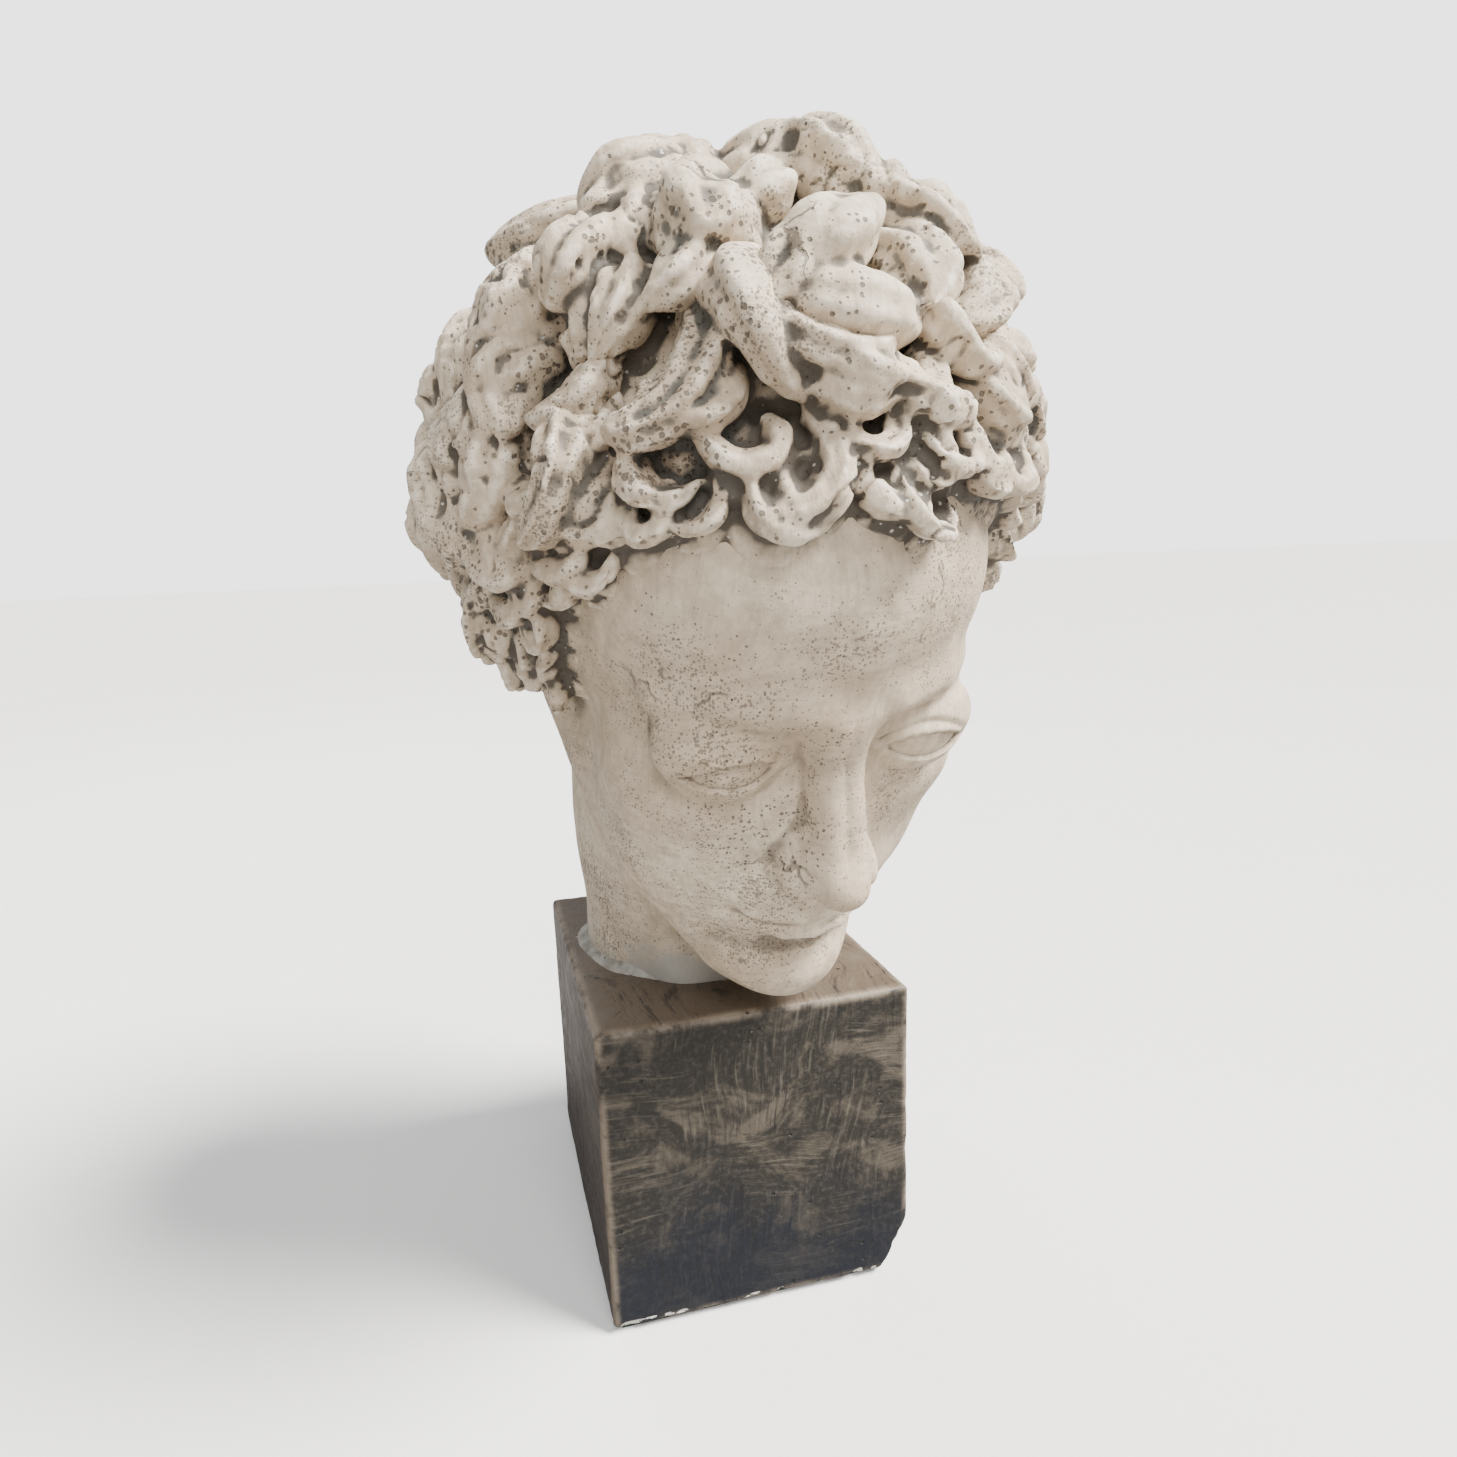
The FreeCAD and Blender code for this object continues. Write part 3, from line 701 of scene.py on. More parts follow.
def build_hair():
    """The locks and their pads in one skin for each piece of the head, worn smooth and pitted."""
    rng = np.random.default_rng(HAIR_SEED)
    locks = comb(rng)
    surfaces = lock_surfaces(locks, rng)
    pads = pad_surfaces(surfaces, locks)
    belonging = quarter_of(unit(surfaces[:, STATIONS // 2].mean(1) - SKULL_MIDDLE))
    made = []
    for name in HAIR_PIECES:
        chosen = belonging == name
        tubes, tube_faces = closed_tubes(to_row(surfaces[chosen]))
        eggs, egg_faces = closed_tubes(to_row(pads[chosen]))
        faces = tube_faces + [f + len(tubes) for f in egg_faces]
        thing = one_skin(f"hair_{name}", np.concatenate([tubes, eggs]), faces)
        wear_hair(thing.data)
        made.append(thing)
    return made


def wear_hair(mesh):
    """Softens the joins between locks, then presses creases, thumb marks and pits into them."""
    points = neighbours_mean(mesh, corners_of(mesh), 2)
    move_vertices(mesh, points)
    normals = normals_of(mesh)
    lumps = 0.7 * cloudy(points, 17.0, 11, 2) + 0.5 * cloudy(points, 6.0, 13, 2)
    crease = np.clip(0.22 - np.abs(cloudy(points, 13.0, 15, 2)), 0, 1) * -6.0
    crease = crease * smoothstep(-0.1, 0.3, lattice_noise(points, 26.0, 16))
    thumb = np.clip(cloudy(points, 10.0, 17, 1) - 0.35, 0, 1) * -3.0
    pits = np.clip(lattice_noise(points, 2.8, 19) - 0.55, 0, 1) * -3.4
    pits = pits * smoothstep(-0.2, 0.4, lattice_noise(points, 21.0, 20))
    points = points + normals * (lumps + crease + thumb + pits)[:, None]
    move_vertices(mesh, points)
    write_attribute(mesh, "hollow", hollowness(mesh, 6))
    write_attribute(mesh, "deep_hollow", hollowness(mesh, 60))
    from_middle = to_head(points) - SKULL_MIDDLE
    write_attribute(mesh, "height", np.linalg.norm(from_middle, axis=1) - scalp_reach(unit(from_middle)))


# ---------------------------------------------------------------- the block and its bedding

# The rounding of the block's edges, its bore and recess, and how far along each edge of the front
# right foot its corner is broken off.
EDGE_ROUND = 2.4
BLOCK_MIDDLE = (BLOCK_LOW + BLOCK_HIGH) / 2
BLOCK_HALF = (BLOCK_HIGH - BLOCK_LOW) / 2
BORE_RADIUS = 6.5
RECESS_RADIUS = 24.0
RECESS_DEPTH = 24.0
BROKEN_CORNER = np.array([14.0, 23.0, 23.0])


def round_the_plan():
    """Points and outward directions round the block's plan, set in by the rounding: straight
    sides whose points crowd towards their ends, joined by quarter turns."""
    reach = BLOCK_HALF[:2] - EDGE_ROUND
    points, ways = [], []
    for quarter, count in enumerate((112, 130, 112, 130)):
        share = 0.5 - 0.5 * np.cos(np.pi * np.linspace(0, 1, count))
        share = mix(share, np.linspace(0, 1, count), 0.45)[:, None]
        first = np.array([(-1, -1), (1, -1), (1, 1), (-1, 1)][quarter]) * reach
        last = np.array([(1, -1), (1, 1), (-1, 1), (-1, -1)][quarter]) * reach
        turn = math.radians(-90 + 90 * quarter)
        way = np.array([math.cos(turn), math.sin(turn)])
        points.append(mix(first, last, share))
        ways.append(np.broadcast_to(way, (count, 2)))
        bend = turn + np.radians(np.linspace(0, 90, 8))[1:-1]
        points.append(np.broadcast_to(last, (6, 2)))
        ways.append(np.stack([np.cos(bend), np.sin(bend)], -1))
    return np.concatenate(points) + BLOCK_MIDDLE[:2], np.concatenate(ways)


def block_rows():
    """The block's profile from the mouth of the bore out over the top, down the side, in under
    the block, up the recess and back up the bore. Each row has its height, how far it stands out
    from the plan's inner line, and how much of it is a circle round the rod and how wide."""
    quarter = np.radians(np.linspace(0, 90, 8))
    low, high = BLOCK_LOW[2], BLOCK_HIGH[2]
    side = mix(0.5 - 0.5 * np.cos(np.pi * np.linspace(0, 1, 98)), np.linspace(0, 1, 98), 0.5)
    side = mix(high - EDGE_ROUND, low + EDGE_ROUND, side)[1:-1]
    rows = [(high, 0, 1 - t, BORE_RADIUS) for t in np.linspace(0, 1, 25) ** 0.7]
    rows += [(high - EDGE_ROUND * (1 - math.cos(a)), EDGE_ROUND * math.sin(a), 0, 0)
             for a in quarter[1:]]
    rows += [(z, EDGE_ROUND, 0, 0) for z in side]
    rows += [(low + EDGE_ROUND * (1 - math.sin(a)), EDGE_ROUND * math.cos(a), 0, 0)
             for a in quarter]
    rows += [(low, 0, t, RECESS_RADIUS) for t in np.linspace(0, 1, 11)[1:]]
    rows += [(low + RECESS_DEPTH * t, 0, 1, RECESS_RADIUS) for t in np.linspace(0, 1, 5)[1:]]
    rows += [(low + RECESS_DEPTH, 0, 1, mix(RECESS_RADIUS, BORE_RADIUS, t))
             for t in np.linspace(0, 1, 5)[1:]]
    rows += [(mix(low + RECESS_DEPTH, high, t), 0, 1, BORE_RADIUS)
             for t in np.linspace(0, 1, 7)[1:-1]]
    return np.array(rows, dtype=float)


def build_block():
    """The block as one closed grid, then rubbed and chipped at its edges and broken at a corner."""
    plan, way = round_the_plan()
    z, out, roundness, radius = (column[:, None, None] for column in block_rows().T)
    towards = unit(plan - ROD_AXIS)
    ring = ROD_AXIS + towards[None] * radius
    flat = mix(plan[None] + way[None] * out, ring, roundness)
    points = np.concatenate([flat, np.broadcast_to(z, flat.shape[:2] + (1,))], -1)
    faces = grid_faces(*points.shape[:2], closed_rows=True)[:, ::-1]
    thing = make_mesh("cast_block", points.reshape(-1, 3), faces)
    weather_block(thing.data)
    return thing


def weather_block(mesh):
    """Makes the block uneven, rubs and chips its edges and breaks off its corner."""
    points, normals = corners_of(mesh), normals_of(mesh)
    gap = BLOCK_HALF - np.abs(points - BLOCK_MIDDLE)
    nearest = np.sort(gap, axis=1)
    edge = smoothstep(4.2, 0.5, nearest[:, 1]) * smoothstep(1.5, 0.2, nearest[:, 0])
    depth = 0.28 * cloudy(points, 34.0, 31, 3) + 0.10 * cloudy(points, 5.0, 35, 2)
    knock = np.clip(cloudy(points, 6.5, 41, 2) - 0.42, 0, 1)
    low_edge = smoothstep(14.0, 3.0, points[:, 2] - BLOCK_LOW[2])
    knock = knock * edge * (0.25 + 2.85 * low_edge)
    pits = np.clip(lattice_noise(points, 2.4, 43) - 0.72, 0, 1) * 1.6
    points = points + normals * (depth - knock * 2.2 - pits * (1 - edge) - 0.35 * edge)[:, None]
    corner = BLOCK_MIDDLE + BLOCK_HALF * (1, -1, -1)
    slope = unit(np.array([1, -1, -1]) / BROKEN_CORNER)
    over = (points - corner) @ slope + BROKEN_CORNER[0] * slope[0]
    over = over + 1.1 * cloudy(points, 9.0, 51, 3)
    close = smoothstep(60.0, 40.0, np.linalg.norm(points - corner, axis=1))
    cut = np.logaddexp(0, over * 1.6) / 1.6 * close
    points = points - slope * cut[:, None]
    move_vertices(mesh, points)
    chipped = np.clip(low_edge + smoothstep(20, 60, points[:, 0]) * 0.5, 0, 1)
    chipped = chipped * np.clip(knock * 7.0 - 0.5, 0, 1)
    broken = smoothstep(1.2, 3.5, cut) * smoothstep(0.35, 0.6, cloudy(points, 4.0, 57, 2) + 0.1)
    write_attribute(mesh, "bare", np.maximum(chipped, broken))
    write_attribute(mesh, "edge", np.clip(edge + smoothstep(0.6, 3.0, cut), 0, 1))
    write_attribute(mesh, "hollow", hollowness(mesh, 6))


BEDDING_TURNS = 420
BEDDING_SLOPE = 18
BEDDING_BACK = np.array([8.0, 4.0, 0.0, -2.0])


def build_bedding():
    """The plaster smeared round the foot of the neck: a hollow-sloped section carried round,
    wandering in width and height, and kept on the block. Its top runs into the neck and its back
    stands inside it."""
    turn = np.linspace(0, 2 * np.pi, BEDDING_TURNS, endpoint=False)[:, None]
    circle = np.concatenate([np.cos(turn), np.sin(turn), np.zeros_like(turn)], 1)
    wander = cloudy(circle * 40, 17.0, 61, 3)[:, None]
    width = 4.2 + 1.6 * wander
    height = 7.0 + 3.0 * cloudy(circle * 40 + 90, 22.0, 63, 2)[:, None]
    slope = np.linspace(0, 1, BEDDING_SLOPE)[None, :]
    back = np.broadcast_to(BEDDING_BACK, (BEDDING_TURNS, len(BEDDING_BACK)))
    out = np.concatenate([width * (1 - slope) ** 2 - 3.0 * slope, np.full_like(back, -7.0)], 1)
    up = np.concatenate([height * slope ** 1.4, back], 1) - 0.4
    radius = NECK_FOOT_RADIUS + out
    x = NECK_FOOT[0] + radius * np.cos(turn)
    y = NECK_FOOT[1] + radius * np.sin(turn) - 0.38 * np.maximum(up, 0)
    limit = BLOCK_HALF[:2] - 1.2
    points = np.stack([np.clip(x, -limit[0], limit[0]), np.clip(y, -limit[1], limit[1]),
                       BLOCK_TOP + up], -1)
    points = points + cloudy(points, 5.0, 65, 3)[..., None] * np.array([0.25, 0.25, 0.15])
    faces = grid_faces(*points.shape[:2], closed_rows=True)
    return make_mesh("bedding_plaster", points.reshape(-1, 3), faces)


# ---------------------------------------------------------------- finishes

# The toned plaster of the head and curls, as linear red, green and blue.
DULL_CREAM = (0.53, 0.43, 0.315, 1)
CREAM = (0.76, 0.66, 0.515, 1)
TEA_STAIN = (0.42, 0.29, 0.185, 1)
MOTTLED_BROWN = (0.34, 0.27, 0.195, 1)
BRUSHED_BROWN = (0.33, 0.275, 0.21, 1)
# The two wash colours below also serve as painted shade in the hollows.
CURL_WASH_AND_SHADE = (0.048, 0.042, 0.034, 1)
FACE_WASH_AND_SHADE = (0.080, 0.060, 0.043, 1)
COOL_GREY = (0.120, 0.135, 0.125, 1)
PLASTER_DUST = (0.60, 0.61, 0.58, 1)
# Partly rubbed wear and partly painted highlight on the ridges of the curls.
RUBBED_RIDGE_AND_HIGHLIGHT = (0.80, 0.735, 0.62, 1)
PEPPER = (0.07, 0.052, 0.038, 1)
AIR_HOLE = (0.055, 0.042, 0.031, 1)
BIG_AIR_HOLE = (0.04, 0.032, 0.025, 1)
CRACK_DIRT = (0.06, 0.05, 0.04, 1)
SMEARED_PLASTER = (0.40, 0.405, 0.385, 1)

# The block's paint and what shows through it, as linear red, green and blue.
BLUE_BLACK = (0.0035, 0.0058, 0.0115, 1)
BROWN_BLACK = (0.0150, 0.0134, 0.0106, 1)
# Painted light: a russet tint for the block's left faces, the side turned from the key.
RUSSET = (0.050, 0.033, 0.028, 1)
TOP_BROWN = (0.115, 0.085, 0.059, 1)
TAUPE = (0.105, 0.088, 0.066, 1)
RUBBED_TAUPE = (0.17, 0.15, 0.12, 1)
BRUSHED_BLACK = (0.006, 0.006, 0.007, 1)
GRAINED_TAUPE = (0.12, 0.105, 0.09, 1)
EDGE_TAN = (0.30, 0.245, 0.185, 1)
PIT_BLACK = (0.008, 0.008, 0.008, 1)
CRACK_BLACK = (0.010, 0.009, 0.009, 1)
CHIPPED_WHITE = (0.70, 0.69, 0.655, 1)
GREY_DUST = (0.42, 0.42, 0.40, 1)

# Bare plaster, steel, felt and the floor's paper, as linear red, green and blue.
GREY_PLASTER = (0.25, 0.235, 0.205, 1)
PALE_PLASTER = (0.45, 0.44, 0.405, 1)
WORKSHOP_DIRT = (0.085, 0.07, 0.055, 1)
PIN_HOLE = (0.07, 0.06, 0.05, 1)
DULL_ZINC = (0.30, 0.305, 0.31, 1)
BRIGHT_ZINC = (0.56, 0.565, 0.57, 1)
RUST = (0.16, 0.065, 0.03, 1)
DEEP_GREEN = (0.014, 0.026, 0.017, 1)
FELT_GREEN = (0.05, 0.085, 0.055, 1)
WORN_GREEN = (0.075, 0.085, 0.065, 1)
LINT = (0.35, 0.35, 0.32, 1)
PAPER_SHADE = (0.86, 0.86, 0.86, 1)
PAPER = (0.90, 0.90, 0.90, 1)
PAPER_BOUNCE = (0.30, 0.29, 0.28, 1)


class Bench:
    """Adds nodes to a tree. Any input may be given as a number, a colour or another socket."""

    def __init__(self, tree):
        self.tree = tree

    def node(self, kind, inputs=(), **settings):
        """A new node with its settings and its inputs, given by name or number."""
        made = self.tree.nodes.new(kind)
        for key, value in settings.items():
            setattr(made, key, value)
        self.fill(made, dict(inputs))
        return made

    def fill(self, made, inputs):
        """Joins sockets to a node's inputs and writes values into them."""
        for key, value in inputs.items():
            if isinstance(value, bpy.types.NodeSocket):
                self.tree.links.new(value, made.inputs[key])
            else:
                made.inputs[key].default_value = value

    def noise(self, vector, scale, detail=4.0, rough=0.55, twist=0.0):
        """Cloudy noise from 0 to 1."""
        return self.node("ShaderNodeTexNoise", {"Vector": vector, "Scale": scale, "Detail": detail,
                                                "Roughness": rough, "Distortion": twist}).outputs["Fac"]

    def cells(self, vector, scale, feature="F1"):
        """Distance to the nearest cell middle, or to the nearest cell wall."""
        return self.node("ShaderNodeTexVoronoi", {"Vector": vector, "Scale": scale},
                         feature=feature).outputs["Distance"]

    def ease(self, value, low, high, to_low=0.0, to_high=1.0):
        """Eases from to_low to to_high as the value goes from low to high."""
        made = self.node("ShaderNodeMapRange", {"Value": value, "From Min": low, "From Max": high,
                                                "To Min": to_low, "To Max": to_high},
                         interpolation_type="SMOOTHSTEP")
        return made.outputs["Result"]

    def sum(self, operation, a, b=0.0, clamp=False):
        """One step of arithmetic."""
        return self.node("ShaderNodeMath", {0: a, 1: b}, operation=operation, use_clamp=clamp).outputs[0]

    def blend(self, share, a, b, how="MIX"):
        """Colour a going over to colour b. The colour sockets are the node's seventh and eighth."""
        made = self.tree.nodes.new("ShaderNodeMix")
        made.data_type, made.blend_type = "RGBA", how
        self.fill(made, {0: share, 6: a, 7: b})
        return made.outputs[2]

    def stretched(self, vector, scale, turn=(0.0, 0.0, 0.0)):
        """A vector turned, then scaled, so that a pattern on it runs in one direction."""
        return self.node("ShaderNodeMapping", {"Vector": vector, "Rotation": turn,
                                               "Scale": scale}).outputs[0]

    def warped(self, vector, scale, detail, reach):
        """A vector pushed about by coloured noise, so that a pattern on it wanders."""
        bend = self.node("ShaderNodeTexNoise", {"Vector": vector, "Scale": scale, "Detail": detail})
        push = self.node("ShaderNodeVectorMath", {0: bend.outputs["Color"], "Scale": reach},
                         operation="SCALE").outputs[0]
        return self.node("ShaderNodeVectorMath", {0: vector, 1: push}, operation="ADD").outputs[0]

    def tinted(self, colour, tint, mask, strength):
        """A colour going over to a tint where the mask is white, as far as the strength."""
        return self.blend(self.sum("MULTIPLY", mask, strength), colour, tint)

    def spots(self, specks, place, scale, amount, drift):
        """The mask of the shared specks, placed with this finish's own values."""
        return self.placed(specks, {"Vector": place, "Scale": scale, "Amount": amount,
                                    "Drift": drift})["Spots"]

    def attribute(self, name):
        """A float kept on the mesh's vertices."""
        return self.node("ShaderNodeAttribute", attribute_name=name).outputs["Fac"]

    def placed(self, tree, inputs):
        """A shared effect, placed with this finish's own values."""
        return self.node("ShaderNodeGroup", inputs, node_tree=tree).outputs


FLOAT, VECTOR, COLOUR = "NodeSocketFloat", "NodeSocketVector", "NodeSocketColor"
SOCKET_BY_LENGTH = {1: FLOAT, 3: VECTOR, 4: COLOUR}


def effect(name, inputs, outputs, build):
    """A node group with named sockets. Inputs are names with a starting value, outputs are names
    with a kind of socket, and build returns one socket for each output."""
    tree = bpy.data.node_groups.new(name, "ShaderNodeTree")
    for key, start in inputs.items():
        kind = SOCKET_BY_LENGTH[np.size(start)]
        tree.interface.new_socket(key, in_out="INPUT", socket_type=kind).default_value = start
    for key, kind in outputs.items():
        tree.interface.new_socket(key, in_out="OUTPUT", socket_type=kind)
    bench = Bench(tree)
    entry = tree.nodes.new("NodeGroupInput").outputs
    leave = tree.nodes.new("NodeGroupOutput").inputs
    for key, socket in build(bench, entry).items():
        tree.links.new(socket, leave[key])
    return tree


def dark_wash_and_painted_shade():
    """Thin dark paint left in hollows and wiped off ridges, uneven where the rag missed, and painted
    shade darkening the same hollows.
    """
    def build(b, i):
        ragged = b.noise(i["Vector"], 55.0, 6.0, 0.62)
        patchy = b.noise(i["Vector"], 14.0, 4.0, 0.6, 0.6)
        # The hollow mask lays the dark colour both as wash and as painted shade in the hollows.
        deep = b.sum("MULTIPLY", i["Hollow"], i["Strength"])
        deep = b.sum("ADD", deep, b.ease(ragged, 0.3, 0.75, -0.34, 0.30))
        deep = b.sum("ADD", deep, b.ease(patchy, 0.35, 0.7, -0.16, 0.16))
        wash_and_shade_held = b.sum("MULTIPLY", b.ease(deep, 0.0, 1.0), i["Most"])
        return {"Colour": b.blend(wash_and_shade_held, i["Colour"], i["Wash_and_shade_colour"]), "Wash_and_shade_share": wash_and_shade_held}
    return effect("dark_wash_and_painted_shade", {"Vector": (0.0, 0.0, 0.0), "Hollow": 0.0, "Strength": 1.0, "Most": 0.9,
                                "Colour": (1.0, 1.0, 1.0, 1.0), "Wash_and_shade_colour": (0.05, 0.04, 0.03, 1.0)},
                  {"Colour": COLOUR, "Wash_and_shade_share": FLOAT}, build)


def pin_specks():
    """Air holes and flecks of old paint: small round spots, gathered in drifts."""
    def build(b, i):
        cells = b.node("ShaderNodeTexVoronoi", {"Vector": i["Vector"], "Scale": i["Scale"]})
        size = b.node("ShaderNodeSeparateColor", {0: cells.outputs["Color"]}).outputs[0]
        drift = b.noise(i["Vector"], i["Drift"], 4.0, 0.65)
        limit = b.sum("MULTIPLY", b.sum("SUBTRACT", size, b.sum("SUBTRACT", 1.0, b.sum(
            "MULTIPLY", b.ease(drift, 0.34, 0.70, 0.15, 1.0), i["Amount"]))), 0.9)
        ragged = b.ease(b.noise(i["Vector"], 700.0, 3.0), 0.2, 0.8, -0.10, 0.10)
        spot = b.sum("SUBTRACT", b.sum("ADD", limit, ragged), cells.outputs["Distance"])
        return {"Spots": b.ease(spot, -0.02, 0.12)}
    return effect("pin_specks", {"Vector": (0.0, 0.0, 0.0), "Scale": 400.0, "Amount": 0.5, "Drift": 20.0},
                  {"Spots": FLOAT}, build)


def brush_drag():
    """Marks of a stiff brush dragged over in two crossing directions: long thin streaks."""
    def build(b, i):
        moved = b.warped(i["Vector"], 9.0, 2.0, 0.05)
        one = b.noise(b.stretched(moved, (40.0, 40.0, 620.0), (0.5, 0.6, 0.0)), 1.0, 5.0, 0.6)
        two = b.noise(b.stretched(moved, (560.0, 60.0, 46.0), (0.3, -0.45, 0.4)), 1.0, 5.0, 0.6)
        where = b.ease(b.noise(i["Vector"], 24.0, 2.0), 0.4, 0.6)
        return {"Streaks": b.sum("ADD", b.sum("MULTIPLY", one, where),
                                 b.sum("MULTIPLY", two, b.sum("SUBTRACT", 1.0, where)))}
    return effect("brush_drag", {"Vector": (0.0, 0.0, 0.0)}, {"Streaks": FLOAT}, build)


def fine_cracks():
    """Hair-thin cracks and scratches: walls of bent cells, let through only in a few places."""
    def build(b, i):
        moved = b.warped(i["Vector"], 40.0, 5.0, 0.035)
        wall = b.cells(moved, i["Scale"], "DISTANCE_TO_EDGE")
        line = b.ease(wall, 0.006, 0.016, 1.0, 0.0)
        place = b.ease(b.noise(i["Vector"], i["Scale"], 3.0, 0.6), 0.58, 0.66)
        return {"Lines": b.sum("MULTIPLY", line, place)}
    return effect("fine_cracks", {"Vector": (0.0, 0.0, 0.0), "Scale": 22.0}, {"Lines": FLOAT}, build)


def new_finish(name):
    """An empty material with a bench, a Principled shader and Object coordinates."""
    finish = bpy.data.materials.new(name)
    finish.use_nodes = True
    bench = Bench(finish.node_tree)
    shader = next(n for n in finish.node_tree.nodes if n.type == "BSDF_PRINCIPLED")
    place = bench.node("ShaderNodeTexCoord").outputs["Object"]
    return finish, bench, shader, place


def finish_with(bench, shader, colour, rough, height, depth):
    """Joins the colour, the roughness and a relief in metres to the shader."""
    bench.tree.links.new(colour, shader.inputs["Base Color"])
    bench.tree.links.new(rough, shader.inputs["Roughness"])
    bump = bench.node("ShaderNodeBump", {"Strength": 1.0, "Distance": depth, "Height": height})
    bench.tree.links.new(bump.outputs["Normal"], shader.inputs["Normal"])


def toned_plaster(name, wash_and_shade_group, specks, drag, cracks, hair):
    """Plaster toned cream, speckled and dusty, with dark wash and painted shade in its hollows, and on
    the curls a cream rub on the ridges that is partly painted highlight. The neck turns paler and
    cooler at its foot, where it was set in fresh plaster."""
    finish, b, shader, place = new_finish(name)
    tone = b.ease(b.noise(place, 11.0, 5.0, 0.6, 0.4), 0.32, 0.70)
    colour = b.blend(tone, DULL_CREAM, CREAM)
    warm = b.ease(b.noise(place, 26.0, 4.0, 0.6), 0.50, 0.72, 0.0, 0.40)
    colour = b.blend(warm, colour, TEA_STAIN)
    mottle = b.ease(b.noise(place, 150.0, 8.0, 0.74), 0.38, 0.66, 0.0, 0.55)
    colour = b.blend(mottle, colour, MOTTLED_BROWN)
    streaks = b.placed(drag, {"Vector": place})["Streaks"]
    colour = b.blend(b.ease(streaks, 0.46, 0.62, 0.0, 0.34), colour, BRUSHED_BROWN)
    hollow = b.attribute("hollow")
    if hair:
        # Painted shade with the wash: darker in the broad hollows between the curls.
        wash_and_shade_mask = b.ease(b.attribute("deep_hollow"), -0.75, 1.3)
        # Painted shade: darker the closer the surface lies to the scalp, under and between the locks.
        near = b.ease(b.attribute("height"), 19.0, 5.0, 0.0, 0.5)
        wash_and_shade_mask = b.sum("ADD", b.sum("MULTIPLY", wash_and_shade_mask, 0.9), near)
        wash_and_shade_mask = b.sum("ADD", wash_and_shade_mask, b.ease(hollow, -0.06, 0.22, -0.22, 0.5))
        strength, most, colour_of_wash_and_shade = 0.86, 0.92, CURL_WASH_AND_SHADE
    else:
        # Painted shade with the wash: the face's creases darkened by how deep they are.
        wash_and_shade_mask = b.ease(hollow, 0.03, 0.65)
        strength, most, colour_of_wash_and_shade = 0.98, 0.66, FACE_WASH_AND_SHADE
    washed_and_shaded = b.placed(wash_and_shade_group, {"Vector": place, "Hollow": wash_and_shade_mask, "Strength": strength, "Most": most,
                             "Colour": colour, "Wash_and_shade_colour": colour_of_wash_and_shade})
    colour = washed_and_shaded["Colour"]
    if hair:
        # A cool grey tint where the wash and the painted shade are held.
        cool = b.sum("MULTIPLY", b.ease(b.noise(place, 19.0, 4.0), 0.48, 0.62),
                     b.ease(washed_and_shaded["Wash_and_shade_share"], 0.15, 0.75, 0.0, 0.5))
        colour = b.tinted(colour, COOL_GREY, cool, 0.6)
        dust = b.spots(specks, place, 520.0, 0.55, 30.0)
        dust = b.sum("MULTIPLY", dust, b.ease(washed_and_shaded["Wash_and_shade_share"], 0.25, 0.7, 0.0, 0.75))
        colour = b.blend(dust, colour, PLASTER_DUST)
        # Partly painted highlight: the ridges of the curls lightened to cream, partly the wash rubbed off
        # them.
        ridge = b.sum("MULTIPLY", b.ease(hollow, -0.05, -0.30), b.ease(mottle, 0.5, 0.0))
        colour = b.tinted(colour, RUBBED_RIDGE_AND_HIGHLIGHT, ridge, 0.6)
    pepper = b.spots(specks, place, 1150.0, 1.0, 24.0)
    colour = b.tinted(colour, PEPPER, pepper, 0.62)
    dots = b.spots(specks, place, 560.0 if hair else 800.0, 0.85 if hair else 0.60, 19.0)
    colour = b.tinted(colour, AIR_HOLE, dots, 0.72)
    big_dots = b.spots(specks, place, 260.0, 0.16, 31.0)
    colour = b.tinted(colour, BIG_AIR_HOLE, big_dots, 0.85)
    lines = b.placed(cracks, {"Vector": place, "Scale": 23.0})["Lines"]
    colour = b.tinted(colour, CRACK_DIRT, lines, 0.62)
    up = b.node("ShaderNodeSeparateXYZ", {0: place}).outputs["Z"]
    if not hair:
        smear = b.sum("ADD", up, b.ease(b.noise(place, 30.0, 5.0, 0.65), 0.25, 0.75, -0.011, 0.011))
        fresh = b.ease(smear, BLOCK_TOP * MM + 0.002, BLOCK_TOP * MM + 0.019, 0.75, 0.0)
        colour = b.blend(fresh, colour, SMEARED_PLASTER)
    rough = b.ease(b.noise(place, 60.0, 4.0), 0.3, 0.7, 0.60, 0.82)
    height = b.sum("ADD", b.sum("MULTIPLY", b.noise(place, 260.0, 6.0, 0.66), 0.5),
                   b.sum("MULTIPLY", streaks, 0.35))
    height = b.sum("SUBTRACT", height, b.sum("MULTIPLY", b.sum("ADD", dots, big_dots), 0.55))
    height = b.sum("SUBTRACT", height, b.sum("MULTIPLY", lines, 0.6))
    finish_with(b, shader, colour, rough, height, 0.0007)
    shader.inputs["Specular IOR Level"].default_value = 0.42
    shader.inputs["Coat Weight"].default_value = 0.03
    shader.inputs["Coat Roughness"].default_value = 0.40
    return finish


